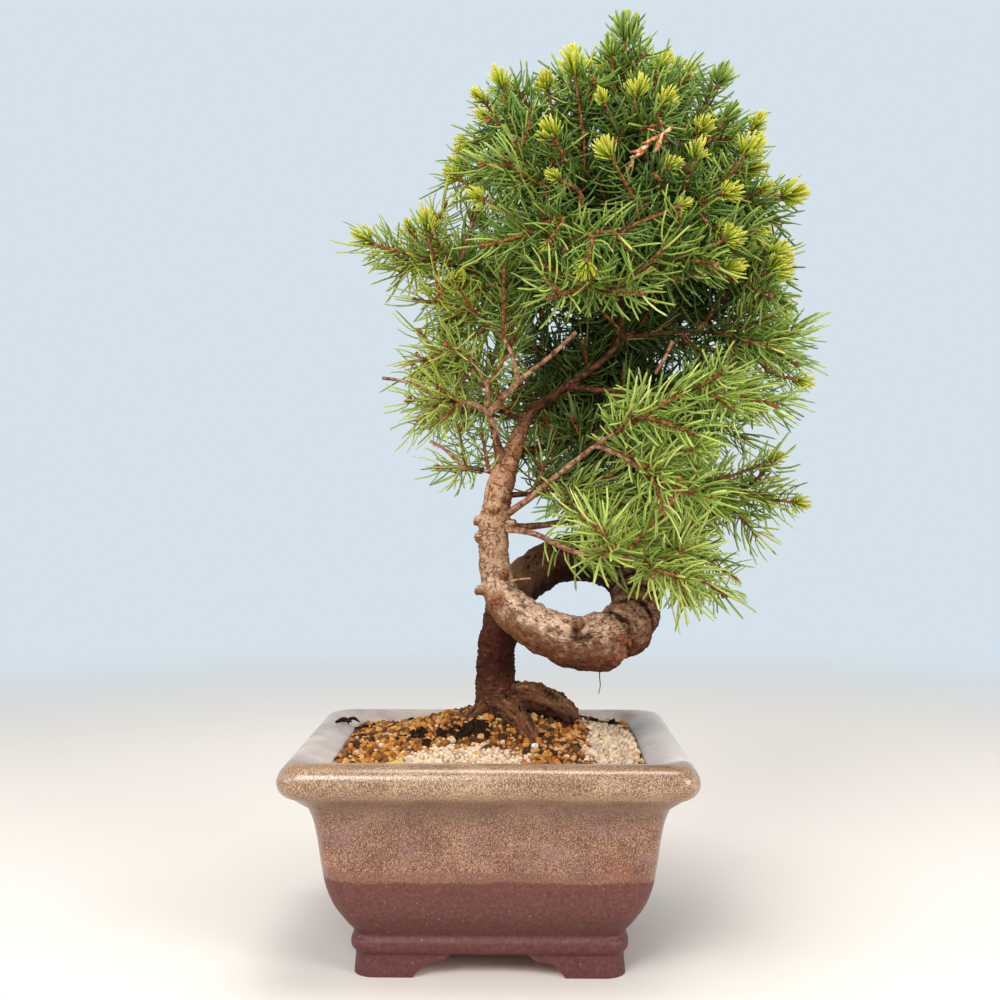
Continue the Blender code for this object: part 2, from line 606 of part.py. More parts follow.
def placed_needles(name, path, room, draw):
    """Needles along a twig.  One that would meet another spray is bent clear of it, or left out."""
    needles = []
    for place, along, across, turn, lean in needle_places(path, draw):
        for attempt in range(BEND_TRIES):
            bent_turn = turn + attempt * BEND_TURN
            bent_lean = lean + draw.uniform(-0.12, 0.12)
            outward = across * math.cos(bent_turn) + along.cross(across) * math.sin(bent_turn)
            direction = along * math.cos(bent_lean) + outward * math.sin(bent_lean)
            tip = place + direction * NEEDLE_LENGTH * draw.uniform(0.9, 1.05)
            if room.is_clear(place, tip, NEEDLE_RADIUS):
                needles.append((needle(name, place, tip), (place, tip, NEEDLE_RADIUS)))
                break
    return needles


def make_spray(limb, wood, room, draw, finish):
    """A leafy spray: one twig on from the end of the limb's wood, its side shoots, and their needles."""
    main = main_twig(wood, Vector(limb.tip) * MM)
    twigs = [main]
    for side_tip in limb.side_tips:
        side = side_twig(main, Vector(side_tip) * MM)
        if all(room.is_clear(start, stop, radius) for start, stop, radius in stretches_of(side)):
            twigs.append(side)
    name = "spray_" + limb.name
    pieces = []
    stretches = []
    for twig in twigs:
        stretches += stretches_of(twig)
        for piece, stretch in placed_needles(name + "_needle", twig, room, draw):
            pieces.append(piece)
            stretches.append(stretch)
    for twig in twigs[1:]:
        pieces.append(tube(name + "_twig", twig, TWIG_SIDES))
    spray = tube(name, main, TWIG_SIDES)
    join(spray, pieces)
    room.add(stretches)
    spray.data.materials.append(finish)
    return spray


def make_tree(stems):
    """Trunk, roots, leader, limbs and knobs, grown together as one solid."""
    trunk = smooth_path(TRUNK, TRUNK_STEPS)
    tree = tube("tree", trunk, TRUNK_SIDES, TRUNK_LUMP)
    pieces = [tube("stem", path, LIMB_SIDES) for path in stems]
    for x, y, z, dx, dy, dz in KNOBS:
        start = Vector((x, y, z)) * MM
        reach = Vector((dx, dy, dz)) * MM
        knob = list(zip((start, start + reach * 0.8, start + reach), KNOB_RADII))
        pieces.append(tube("knob", knob, LIMB_SIDES))
    join(tree, pieces)
    tree.data.materials.append(material("bark", (0.36, 0.25, 0.18), 0.85))
    return tree


def main():
    """Build every piece, then carry them all to the middle of the whole tree."""
    clear_scene()
    pieces = [make_pot()]
    net_finish = material("net", (0.03, 0.03, 0.03), 0.6)
    pieces.append(make_net("drain_net_left", DRAIN_PLACES[0], net_finish))
    pieces.append(make_net("drain_net_right", DRAIN_PLACES[1], net_finish))

    roots = [smooth_path(points, LIMB_STEPS) for points in ROOTS]
    leader = smooth_path(LEADER, LIMB_STEPS)
    woods = {limb.name: smooth_path(limb.wood, LIMB_STEPS) for limb in LIMBS}
    stub = smooth_path(BARE_STUB, LIMB_STEPS)
    pieces.append(make_tree(roots + [leader, stub] + list(woods.values())))

    trunk = smooth_path(TRUNK, TRUNK_STEPS)
    holes = [tube("hole", path, LIMB_SIDES, 0.0, ROOT_GAP) for path in roots]
    holes.append(tube("hole", trunk[:STUMP_POINTS], TRUNK_SIDES, TRUNK_LUMP, ROOT_GAP))
    pieces.append(make_soil(holes))
    pumice_finish = material("pumice", (0.78, 0.66, 0.56), 0.95)
    for name in PUMICE:
        patch = pumice_body(name, 0.0, PUMICE_FLOOR)
        patch.data.materials.append(pumice_finish)
        pieces.append(patch)

    room = Room()
    for path in [trunk, leader, stub] + roots + list(woods.values()):
        room.add(stretches_of(path))
    draw = random.Random(7)
    leaf_finish = material("needles", (0.16, 0.30, 0.06), 0.55)
    pieces.append(make_spray(APEX, leader, room, draw, leaf_finish))
    for limb in LIMBS:
        pieces.append(make_spray(limb, woods[limb.name], room, draw, leaf_finish))

    bpy.context.view_layer.update()
    corners = [vert.co for piece in pieces for vert in piece.data.vertices]
    x_middle = (min(c.x for c in corners) + max(c.x for c in corners)) / 2.0
    y_middle = (min(c.y for c in corners) + max(c.y for c in corners)) / 2.0
    bonsai = bpy.data.objects.new("bonsai", None)
    bpy.context.scene.collection.objects.link(bonsai)
    bonsai.location = (-x_middle, -y_middle, 0.0)
    for piece in pieces:
        piece.parent = bonsai


main()
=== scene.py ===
"""A spruce grown as a bonsai, with one full coil in its trunk, in a rectangular glazed pot.

Metres, +Z up, the pot's feet on Z = 0 and its front towards -Y.  Places in lists are in millimetres from
the middle of the pot, as they are in the model that this script dresses.
"""

import json
import math
import random
from collections import namedtuple

import bmesh
import bpy
import numpy as np
from mathutils import Matrix, Vector, noise

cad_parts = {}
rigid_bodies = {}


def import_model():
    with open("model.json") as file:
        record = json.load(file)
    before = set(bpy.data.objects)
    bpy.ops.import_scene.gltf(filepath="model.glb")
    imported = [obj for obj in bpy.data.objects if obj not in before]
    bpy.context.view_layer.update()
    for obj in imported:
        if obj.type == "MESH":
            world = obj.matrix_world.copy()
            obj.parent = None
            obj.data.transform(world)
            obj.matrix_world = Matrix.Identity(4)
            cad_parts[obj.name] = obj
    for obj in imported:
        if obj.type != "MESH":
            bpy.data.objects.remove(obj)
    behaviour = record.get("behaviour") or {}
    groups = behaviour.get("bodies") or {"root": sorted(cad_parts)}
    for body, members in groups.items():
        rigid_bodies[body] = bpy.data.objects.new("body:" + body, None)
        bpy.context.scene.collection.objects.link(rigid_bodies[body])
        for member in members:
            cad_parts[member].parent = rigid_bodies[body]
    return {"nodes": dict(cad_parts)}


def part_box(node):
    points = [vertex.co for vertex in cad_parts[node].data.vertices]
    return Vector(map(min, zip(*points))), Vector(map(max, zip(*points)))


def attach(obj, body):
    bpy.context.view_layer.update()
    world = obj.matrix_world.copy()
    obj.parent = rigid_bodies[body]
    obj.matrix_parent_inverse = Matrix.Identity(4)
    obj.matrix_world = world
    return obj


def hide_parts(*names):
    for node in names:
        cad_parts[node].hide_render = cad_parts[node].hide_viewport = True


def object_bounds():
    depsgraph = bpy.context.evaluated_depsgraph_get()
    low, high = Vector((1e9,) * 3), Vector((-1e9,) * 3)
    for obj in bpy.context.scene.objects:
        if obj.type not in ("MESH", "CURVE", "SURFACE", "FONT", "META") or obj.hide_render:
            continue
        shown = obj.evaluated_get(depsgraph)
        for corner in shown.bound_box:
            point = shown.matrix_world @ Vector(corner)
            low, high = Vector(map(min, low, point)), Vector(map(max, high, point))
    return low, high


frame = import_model()
cad_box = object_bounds()

# The pot: cast stoneware, dipped in a speckled milky glaze down to a line below its middle, with a bare
# purple-brown body under it, a moulded band, and feet wiped back to orange clay along their edges.
MM = 0.001
RIM_WIDTH = 166.0
RIM_DEPTH = 142.0
POT_HEIGHT = 91.0
LIP_RADIUS = 7.5
LIP_STEPS = 16
LIP_TURNS = (math.radians(-70.0), math.radians(90.0))
OUTSIDE = [(55.9, 0.0), (55.3, 8.3), (56.1, 9.8), (56.95, 11.6), (56.95, 14.4), (55.9, 16.3), (56.3, 18.1),
           (59.8, 23.5), (63.4, 30.0), (65.75, 36.7), (66.9, 41.9), (68.2, 50.7), (69.3, 59.4),
           (70.7, 66.4), (72.4, 71.4)]
INSIDE = [(70.5, 90.2), (65.6, 88.2), (63.8, 86.4), (63.4, 80.0), (62.6, 66.0), (61.0, 50.0), (58.5, 38.0),
          (54.0, 28.5), (48.5, 22.0), (43.0, 17.6), (41.0, 16.0)]
OUTER_CORNER = 9.0
INNER_CORNER = 6.0
CORNER_STEPS = 8
EDGE_STEPS = 16
PROFILE_STEPS = 4
ARCH = [(31.6, 0.0), (28.3, 3.0), (26.5, 5.1), (24.1, 6.0), (20.0, 6.5), (17.6, 7.7), (15.2, 9.8)]
SIDE_ARCH_SCALE = 0.72
DRAIN_PLACES = (-27.0, 27.0)
DRAIN_RADIUS = 6.5
DRAIN_SIDES = 32
DRAIN_CUT = (8.0, 17.0)
WIPED_EDGE = 0.7 * MM
SHARP_EDGE = math.radians(50.0)
OBJECT_PLACE = 3

pot_low, pot_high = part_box("pot")
MIDDLE = np.array([(pot_low.x + pot_high.x) / 2.0, (pot_low.y + pot_high.y) / 2.0, 0.0])


class Wire:
    """A socket in a tree of nodes.  Arithmetic on it adds Math nodes, and node() adds a node of any kind."""

    def __init__(self, tree, socket=None):
        self.tree = tree
        self.socket = socket

    def node(self, kind, settings, sockets, output=0):
        """A new node, its settings first and then its sockets' values or links; gives one of its outputs."""
        made = self.tree.nodes.new(kind)
        for name, value in settings.items():
            if name == "stops":
                ramp = made.color_ramp.elements
                for _ in range(len(value) - len(ramp)):
                    ramp.new(0.5)
                for element, (place, colour) in zip(ramp, value):
                    element.position = place
                    element.color = colour
            else:
                setattr(made, name, value)
        for key, value in sockets.items():
            if isinstance(value, Wire):
                self.tree.links.new(value.socket, made.inputs[key])
            else:
                made.inputs[key].default_value = value
        return Wire(self.tree, made.outputs[output])

    def also(self, output):
        """Another output of the node that this one comes from."""
        return Wire(self.tree, self.socket.node.outputs[output])

    def math(self, operation, *others):
        """A Math node on this value and others."""
        return self.node("ShaderNodeMath", {"operation": operation}, dict(enumerate((self, *others))))

    def __add__(self, other):
        return self.math("ADD", other)

    def __radd__(self, other):
        return self.math("ADD", other)

    def __sub__(self, other):
        return self.math("SUBTRACT", other)

    def __rsub__(self, other):
        return self.node("ShaderNodeMath", {"operation": "SUBTRACT"}, {0: other, 1: self})

    def __mul__(self, other):
        return self.math("MULTIPLY", other)

    def __rmul__(self, other):
        return self.math("MULTIPLY", other)

    def rise(self, start, end):
        """0 below start and 1 past end, with a soft step between."""
        settings = {"interpolation_type": "SMOOTHSTEP"}
        return self.node("ShaderNodeMapRange", settings, {"Value": self, "From Min": start, "From Max": end})

    def blend(self, below, above):
        """One colour where this mask is 0 and the other where it is 1."""
        return self.node("ShaderNodeMix", {"data_type": "RGBA"}, {0: self, 6: below, 7: above}, 2)

    def ramp(self, *stops):
        """The colour that a ramp gives this value."""
        return self.node("ShaderNodeValToRGB", {"stops": stops}, {0: self})

    def part(self, axis):
        """One part of this vector: 0 across, 1 deep, 2 up."""
        return self.node("ShaderNodeSeparateXYZ", {}, {0: self}, axis)

    def stretched(self, x, y, z):
        """This vector with its parts multiplied."""
        return self.node("ShaderNodeVectorMath", {"operation": "MULTIPLY"}, {0: self, 1: (x, y, z)})

    def cloud(self, scale, detail=2.0, roughness=0.5, distortion=0.0):
        """Noise at this place, 0 to 1."""
        sockets = {"Vector": self, "Scale": scale, "Detail": detail, "Roughness": roughness,
                   "Distortion": distortion}
        return self.node("ShaderNodeTexNoise", {}, sockets)

    def cells(self, scale, feature="F1", output=0):
        """A cell pattern at this place: how far its nearest seed or edge is, or each cell's own colour."""
        sockets = {"Vector": self, "Scale": scale}
        return self.node("ShaderNodeTexVoronoi", {"feature": feature}, sockets, output)


def paint(red, green, blue):
    """The linear colour that a shader takes for one named as the eye sees it, 0 to 255."""
    return tuple((part / 255.0) ** 2.2 for part in (red, green, blue)) + (1.0,)


def finish(name, **constants):
    """A new material with these constants: it, the place on the piece, and its shader's sockets."""
    made = bpy.data.materials.new(name)
    made.use_nodes = True
    shader = made.node_tree.nodes["Principled BSDF"]
    for key, value in constants.items():
        shader.inputs[key.replace("_", " ").title().replace("Ior", "IOR")].default_value = value
    return made, Wire(made.node_tree).node("ShaderNodeTexCoord", {}, {}, OBJECT_PLACE), shader.inputs


def plug(value, socket):
    """Link a pattern to a shader's socket."""
    value.tree.links.new(value.socket, socket)


def bump(height, distance, strength=1.0):
    """A normal that makes this height stand out by a distance in metres."""
    return height.node("ShaderNodeBump", {}, {"Strength": strength, "Distance": distance, "Height": height})


def attribute(wire, name, output=2):
    """A value that the mesh carries."""
    return wire.node("ShaderNodeAttribute", {"attribute_name": name}, {}, output)


def new_object(name, data):
    """An object in the scene for this mesh, lamp or camera."""
    made = bpy.data.objects.new(name, data)
    bpy.context.scene.collection.objects.link(made)
    return made


def body_object(name, body):
    """An object in the scene from a bmesh, smooth but for its sharp edges."""
    mesh = bpy.data.meshes.new(name)
    body.to_mesh(mesh)
    body.free()
    mesh.shade_smooth()
    return new_object(name, mesh)


def settle(thing):
    """Turn an object's modifiers into its own mesh."""
    graph = bpy.context.evaluated_depsgraph_get()
    mesh = bpy.data.meshes.new_from_object(thing.evaluated_get(graph), preserve_all_data_layers=True,
                                           depsgraph=graph)
    thing.modifiers.clear()
    thing.data = mesh


def store(mesh, name, values, kind="FLOAT"):
    """Let each vertex of a mesh carry a value or a vector."""
    layer = mesh.attributes.new(name, kind, "POINT")
    field = "vector" if kind == "FLOAT_VECTOR" else "value"
    layer.data.foreach_set(field, np.ravel(values).astype(np.float32))


def smooth_line(points, steps):
    """Rows along one smooth curve through given rows of numbers."""
    rows = np.array(points, float)
    rows = np.vstack([rows[0] * 2.0 - rows[1], rows, rows[-1] * 2.0 - rows[-2]])
    line = []
    for a, b, c, d in zip(rows, rows[1:], rows[2:], rows[3:]):
        for step in range(steps):
            t = step / steps
            line.append((2.0 * b + (c - a) * t + (2.0 * a - 5.0 * b + 4.0 * c - d) * t * t
                         + (3.0 * b - a - 3.0 * c + d) * t ** 3) * 0.5)
    line.append(rows[-2])
    return np.array(line)


def pot_ring(half_width, height, corner, edge_steps=EDGE_STEPS):
    """Places round one level of the pot, in metres, anticlockwise from above."""
    half_depth = half_width - (RIM_WIDTH - RIM_DEPTH) / 2.0
    arcs = []
    for quarter, (to_right, to_back) in enumerate([(1, 1), (-1, 1), (-1, -1), (1, -1)]):
        middle = np.array([to_right * (half_width - corner), to_back * (half_depth - corner), height])
        turns = [math.tau / 4.0 * (quarter + step / CORNER_STEPS) for step in range(CORNER_STEPS + 1)]
        arcs.append([middle + np.array([math.cos(t), math.sin(t), 0.0]) * corner for t in turns])
    places = []
    for arc, next_arc in zip(arcs, arcs[1:] + arcs[:1]):
        places += arc
        places += [arc[-1] + (next_arc[0] - arc[-1]) * step / edge_steps for step in range(1, edge_steps)]
    return [place * MM + MIDDLE for place in places]


def walls(body, rings):
    """Faces between rings that run anticlockwise seen from the last one's side, and the two end caps."""
    for lower, upper in zip(rings, rings[1:]):
        for k in range(len(lower)):
            after = (k + 1) % len(lower)
            body.faces.new((lower[k], lower[after], upper[after], upper[k]))
    body.faces.new(rings[0][::-1])
    body.faces.new(rings[-1])


def prism(name, outline, along):
    """A closed prism of an outline of places, reaching along a vector."""
    body = bmesh.new()
    near = [body.verts.new(Vector(place)) for place in outline]
    far = [body.verts.new(Vector(place + along)) for place in outline]
    walls(body, [near, far])
    bmesh.ops.recalc_face_normals(body, faces=body.faces)
    return body_object(name, body)


# Each level of the pot: half width, height, corner and how far over the lip it is, which is 0 up the
# outside, 1 on the crest of the lip and more down the inside.
pot_levels = [(*row, OUTER_CORNER, 0.0) for row in smooth_line(OUTSIDE, PROFILE_STEPS)]
for step in range(LIP_STEPS + 1):
    lip_turn = LIP_TURNS[0] + (LIP_TURNS[1] - LIP_TURNS[0]) * step / LIP_STEPS
    lip_width = RIM_WIDTH / 2.0 - LIP_RADIUS + LIP_RADIUS * math.cos(lip_turn)
    lip_height = POT_HEIGHT - LIP_RADIUS + LIP_RADIUS * math.sin(lip_turn)
    pot_levels.append((lip_width, lip_height, OUTER_CORNER, step / LIP_STEPS))
for width, height in smooth_line(INSIDE, PROFILE_STEPS):
    pot_levels.append((width, height, INNER_CORNER, 1.0 + (POT_HEIGHT - height) / 10.0))
pot_body = bmesh.new()
over_layer = pot_body.verts.layers.float.new("over")
pot_rings = []
for width, height, corner, over in pot_levels:
    ring = [pot_body.verts.new(Vector(place)) for place in pot_ring(width, height, corner)]
    for vert in ring:
        vert[over_layer] = over
    pot_rings.append(ring)
walls(pot_body, pot_rings)
pot = body_object("glazed_pot", pot_body)

glaze, place, shader = finish("speckled_glaze", coat_roughness=0.16)
height = place.part(2) * 1000.0
over = attribute(place, "over")
drift = place.cloud(38.0, 3.0)
grain = place.stretched(1.0, 1.0, 0.65).cloud(2300.0, 2.0, 0.55)
patches = place.stretched(1.0, 1.0, 1.6).cloud(55.0, 2.0)
grain_shifted = grain + (patches - 0.5) * 0.26
body_tone = grain_shifted.ramp((0.38, paint(80, 43, 29)), (0.47, paint(104, 63, 46)),
                               (0.54, paint(131, 90, 69)), (0.62, paint(162, 126, 98)))
lip_tone = grain_shifted.ramp((0.36, paint(92, 59, 39)), (0.45, paint(122, 89, 63)),
                              (0.54, paint(147, 116, 88)), (0.64, paint(177, 150, 121)))
cove_tone = grain_shifted.ramp((0.38, paint(85, 48, 34)), (0.50, paint(113, 76, 56)),
                               (0.62, paint(144, 112, 88)))
lilac = place.cloud(70.0, 2.0).rise(0.52, 0.70) * height.rise(40.0, 60.0)
body_tone = (lilac * 0.35).blend(body_tone, paint(129, 96, 101))
rusty = place.cloud(45.0, 3.0).rise(0.52, 0.64) * height.rise(62.0, 52.0) * grain.rise(0.56, 0.46)
body_tone = (rusty * 0.55).blend(body_tone, paint(124, 58, 26))
thin = (height + drift * 5.0).rise(50.0, 47.0)
body_tone = (thin * 0.55).blend(body_tone, paint(112, 66, 51))
glazed = height.rise(62.0, 70.0).blend(body_tone, cove_tone)
glazed = (height + drift * 3.0).rise(75.0, 80.5).blend(glazed, lip_tone)
milky = (place.cloud(60.0, 2.0) * 0.4 + grain * 0.6).ramp(
    (0.38, paint(138, 112, 104)), (0.47, paint(170, 152, 146)), (0.56, paint(186, 172, 160)),
    (0.66, paint(204, 194, 176)))
# The milky top of the lip is kept off the front of the pot and shows on its sides and back only: partly the
# glaze's pale colour and partly painted reflection.
frontward = place.part(1).rise(-0.048, -0.064)
rightward = place.part(0).rise(0.030, 0.045)
# Painted light: the milky top is painted whiter on the right side of the pot.
milky = (rightward * (grain * 0.9 + 0.1)).blend(milky, paint(240, 232, 218))
milky_top_and_painted_sheen = (grain * 0.35 + over - frontward * 0.5).rise(0.72, 0.92)
glazed = milky_top_and_painted_sheen.blend(glazed, milky)
clay_tone = place.cloud(420.0, 3.0).ramp((0.3, paint(79, 50, 38)), (0.7, paint(122, 88, 69)))
glazed = over.rise(1.46, 1.56).blend(glazed, clay_tone)
bare_tone = place.cloud(700.0, 3.0, 0.6).ramp((0.30, paint(80, 39, 33)), (0.55, paint(96, 53, 47)),
                                              (0.75, paint(112, 69, 61)))
pale_flecks = place.cells(520.0).rise(0.16, 0.06) * place.cloud(300.0).rise(0.56, 0.62)
foot_tone = place.cloud(600.0, 3.0, 0.6).ramp((0.3, paint(74, 30, 28)), (0.6, paint(98, 49, 45)),
                                              (0.8, paint(120, 76, 75)))
bare = height.rise(20.0, 17.0).blend(bare_tone, foot_tone)
bare = (height.rise(27.0, 24.0) * 0.28).blend(bare, paint(66, 28, 26))
bare = (pale_flecks * 0.7).blend(bare, paint(176, 163, 155))
glaze_line = (height + drift * 5.0 + grain * 2.5).rise(45.5, 46.5)
plug(glaze_line.blend(bare, glazed), shader["Base Color"])
under_line = 1.0 - glaze_line
inner_clay = over.rise(1.46, 1.56)
plug(under_line * 0.24 + inner_clay * 0.4 + 0.24 + grain * 0.12 + milky_top_and_painted_sheen * 0.14, shader["Roughness"])
plug(glaze_line * (1.0 - inner_clay) * (0.45 - milky_top_and_painted_sheen * 0.33), shader["Coat Weight"])
plug(bump(grain * 0.5 + drift * 0.3, 0.12 * MM, 0.35), shader["Normal"])

raw_clay, place, shader = finish("wiped_clay", roughness=0.75)
clay_tone = place.cloud(500.0, 3.0).ramp((0.3, paint(122, 70, 44)), (0.7, paint(176, 114, 76)))
plug(clay_tone, shader["Base Color"])
plug(bump(place.cloud(900.0, 2.0), 0.1 * MM), shader["Normal"])

pot.data.materials.append(glaze)
pot.data.materials.append(raw_clay)
half_arch = smooth_line(ARCH, 3)
half_arch[0, 1] = -1.0
whole_arch = np.vstack([half_arch, half_arch[::-1] * (-1.0, 1.0)])
cutters = []
front_outline = [np.array([width, RIM_DEPTH / 2.0, height]) * MM + MIDDLE for width, height in whole_arch]
cutters.append(prism("front_arch", front_outline, np.array([0.0, -RIM_DEPTH * MM, 0.0])))
side_outline = [np.array([RIM_WIDTH / 2.0, width * SIDE_ARCH_SCALE, height]) * MM + MIDDLE
                for width, height in whole_arch]
cutters.append(prism("side_arch", side_outline, np.array([-RIM_WIDTH * MM, 0.0, 0.0])))
for x in DRAIN_PLACES:
    turns = [math.tau * k / DRAIN_SIDES for k in range(DRAIN_SIDES)]
    circle = [np.array([x + DRAIN_RADIUS * math.cos(turn), DRAIN_RADIUS * math.sin(turn), DRAIN_CUT[0]]) * MM
              + MIDDLE for turn in turns]
    cutters.append(prism("drain", circle, np.array([0.0, 0.0, DRAIN_CUT[1] - DRAIN_CUT[0]]) * MM))
for cutter in cutters:
    cutter.data.materials.append(raw_clay)
    cut = pot.modifiers.new("cut", "BOOLEAN")
    cut.operation = "DIFFERENCE"
    cut.object = cutter
    cut.material_mode = "TRANSFER"
wiped = pot.modifiers.new("wiped_edges", "BEVEL")
wiped.limit_method = "ANGLE"
wiped.angle_limit = SHARP_EDGE
wiped.width = WIPED_EDGE
wiped.segments = 2
wiped.material = 1
settle(pot)
for cutter in cutters:
    bpy.data.objects.remove(cutter, do_unlink=True)
pot.data.shade_smooth()
pot.data.set_sharp_from_angle(angle=SHARP_EDGE)
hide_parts("pot")
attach(pot, "root")

# The nets over the two drainage holes: black plastic mesh, cut square and laid loose on the floor of the
# pot, where they hold the grain back and let the water out.
net_plastic, place, shader = finish("net_plastic", roughness=0.5)
plug(place.cloud(800.0).ramp((0.3, paint(22, 22, 23)), (0.7, paint(44, 44, 46))), shader["Base Color"])
plug(bump(place.cloud(1500.0), 0.05 * MM), shader["Normal"])
for name in ("drain_net_left", "drain_net_right"):
    net = frame["nodes"][name]
    net.data.materials.clear()
    net.data.materials.append(net_plastic)

# The soil: fired clay crumbs of two to four millimetres, orange, brown and a few dark or cream ones, heaped
# to the foot of the trunk.  Grains, each a lumpy pebble of its own, lie on a dark bed, with black bits of old
# bark strewn over them in places.  The bed's dark colour is painted shade in the gaps between the grains.
SOIL_FLOOR = 17.0
SOIL_EDGE = 86.0
WALL_GAP = 0.3
MOUND_HEIGHT = 15.5
MOUND_PLACE = (4.0, 5.0)
MOUND_SPREAD = (34.0, 23.0)
BED_RINGS = 30
BED_WAVE = 0.5

# Patches on the soil: their middles, and their half widths and depths or how far they reach.
PUMICE = [(-13.0, -42.0, 29.0, 14.0), (51.0, -13.0, 12.0, 46.0)]
PUMICE_RAGGED = 0.30
BURNT = [(-9.0, -16.0, 6.5), (-58.0, 2.0, 4.0), (-30.0, -12.0, 4.0), (60.0, 40.0, 6.0)]
LITTER = [(-10.0, -18.0, 11.5, 5.0), (-33.0, -13.0, 6.5, 2.5), (-58.0, 26.0, 5.0, 3.0),
          (-42.0, 20.0, 6.0, 3.0), (47.0, 34.0, 13.0, 6.0), (20.0, -20.0, 3.0, 2.0),
          (-24.0, -24.0, 3.0, 1.5)]
GRAIN_KINDS = 6
GRAIN_LUMP = 0.42
CROWDING = 900000.0


def soil_height(x, y):
    """Level of the soil, in millimetres."""
    across = (x - MOUND_PLACE[0]) / MOUND_SPREAD[0]
    deep = (y - MOUND_PLACE[1]) / MOUND_SPREAD[1]
    return SOIL_EDGE + MOUND_HEIGHT * math.exp(-(across * across + deep * deep) / 2.0)


def pumice_share(x, y):
    """1 inside a patch of pumice, 0 outside, with a ragged edge."""
    ragged = noise.noise(Vector((x, y, 7.0)) * 0.16) * PUMICE_RAGGED
    ragged += noise.noise(Vector((x, y, 2.0)) * 0.5) * PUMICE_RAGGED * 0.5
    for x_middle, y_middle, half_width, half_depth in PUMICE:
        if math.hypot((x - x_middle) / half_width, (y - y_middle) / half_depth) + ragged < 1.0:
            return 1.0
    return 0.0


def lumpy_grain(name, seed, flat):
    """A small rounded stone, about one unit across."""
    body = bmesh.new()
    bmesh.ops.create_cube(body, size=1.0)
    bmesh.ops.subdivide_edges(body, edges=body.edges, cuts=1, use_grid_fill=True)
    for vert in body.verts:
        rounded = vert.co.normalized() * 0.5
        push = noise.noise(rounded * 2.6 + Vector((seed * 5.0, 0.0, 0.0))) * GRAIN_LUMP
        vert.co = rounded.lerp(vert.co, 0.25) * (1.0 + push)
        vert.co.z *= flat
    return body_object(name, body)


def group_of(name, things):
    """Put objects in one collection of their own, out of the scene's."""
    group = bpy.data.collections.new(name)
    bpy.context.scene.collection.children.link(group)
    for thing in things:
        bpy.context.scene.collection.objects.unlink(thing)
        group.objects.link(thing)
    return group


def clear_group(group):
    """Take away a collection and all it holds."""
    for thing in list(group.objects):
        bpy.data.objects.remove(thing, do_unlink=True)
    bpy.data.collections.remove(group)


def new_tree(name, inputs):
    """A geometry tree with named inputs: the tree, and a wire from each input."""
    tree = bpy.data.node_groups.new(name, "GeometryNodeTree")
    tree.interface.new_socket("Geometry", in_out="INPUT", socket_type="NodeSocketGeometry")
    for label, kind in inputs.items():
        tree.interface.new_socket(label, in_out="INPUT", socket_type="NodeSocket" + kind)
    tree.interface.new_socket("Geometry", in_out="OUTPUT", socket_type="NodeSocketGeometry")
    entry = tree.nodes.new("NodeGroupInput")
    wires = {socket.name: Wire(tree, socket) for socket in entry.outputs if socket.name}
    return tree, wires


def close_tree(geometry, material):
    """End a tree with its instances made real and its material set."""
    real = geometry.node("GeometryNodeRealizeInstances", {}, {0: geometry})
    dressed = real.node("GeometryNodeSetMaterial", {}, {0: real, "Material": material})
    end = dressed.tree.nodes.new("NodeGroupOutput")
    dressed.tree.links.new(dressed.socket, end.inputs[0])


def grow(name, carrier, tree, values):
    """A plain mesh piece from a carrier mesh and a geometry tree with these inputs."""
    made = new_object(name, carrier)
    modifier = made.modifiers.new(name, "NODES")
    modifier.node_group = tree
    identifiers = {item.name: item.identifier for item in tree.interface.items_tree if item.in_out == "INPUT"}
    for label, value in values.items():
        modifier[identifiers[label]] = value
    settle(made)
    return made


def random_value(wire, low, high, seed):
    """A random number for each element."""
    return wire.node("FunctionNodeRandomValue", {"data_type": "FLOAT"}, {2: low, 3: high, 8: seed}, 1)


def carried(wire, name):
    """A value that the mesh carries into a geometry tree."""
    return wire.node("GeometryNodeInputNamedAttribute", {"data_type": "FLOAT"}, {"Name": name})


def keep_value(geometry, name, value, domain):
    """Store a value under a name on each element."""
    settings = {"data_type": "FLOAT", "domain": domain}
    sockets = {0: geometry, "Name": name, "Value": value}
    return geometry.node("GeometryNodeStoreNamedAttribute", settings, sockets)


bed_body = bmesh.new()
bed_rings = []
bed_walls = [(width, height) for width, height in reversed(INSIDE) if SOIL_FLOOR < height < SOIL_EDGE - 1.0]
bed_walls.append((INSIDE[3][0], SOIL_EDGE))
for width, height in bed_walls:
    bed_rings.append([bed_body.verts.new(Vector(place))
                      for place in pot_ring(width - WALL_GAP, height, INNER_CORNER)])
mound = Vector((MOUND_PLACE[0] * MM, MOUND_PLACE[1] * MM, 0.0)) + Vector(MIDDLE)
for ring in range(1, BED_RINGS):
    shrink = 1.0 - ring / BED_RINGS
    level = []
    for vert in bed_rings[len(bed_walls) - 1]:
        place = mound.lerp(vert.co, shrink)
        x, y = (place.x - MIDDLE[0]) / MM, (place.y - MIDDLE[1]) / MM
        wave = noise.noise(Vector((x, y, 0.0)) * 0.12) * BED_WAVE
        level.append(bed_body.verts.new((place.x, place.y, (soil_height(x, y) + wave) * MM)))
    bed_rings.append(level)
walls(bed_body, bed_rings)
bed = body_object("soil_bed", bed_body)
bed_places = [((vert.co.x - MIDDLE[0]) / MM, (vert.co.y - MIDDLE[1]) / MM) for vert in bed.data.vertices]
pumice_shares = np.array([pumice_share(x, y) for x, y in bed_places])
store(bed.data, "pumice", pumice_shares)
store(bed.data, "soil", 1.0 - pumice_shares)
burnt_shares = [max(1.0 - math.hypot(x - u, y - v) / reach for u, v, reach in BURNT) for x, y in bed_places]
store(bed.data, "burnt", np.clip(burnt_shares, 0.0, 1.0))
litter_shares = [any(math.hypot((x - u) / half_width, (y - v) / half_depth) < 1.0
                     for u, v, half_width, half_depth in LITTER) for x, y in bed_places]
store(bed.data, "litter", np.array(litter_shares, float))

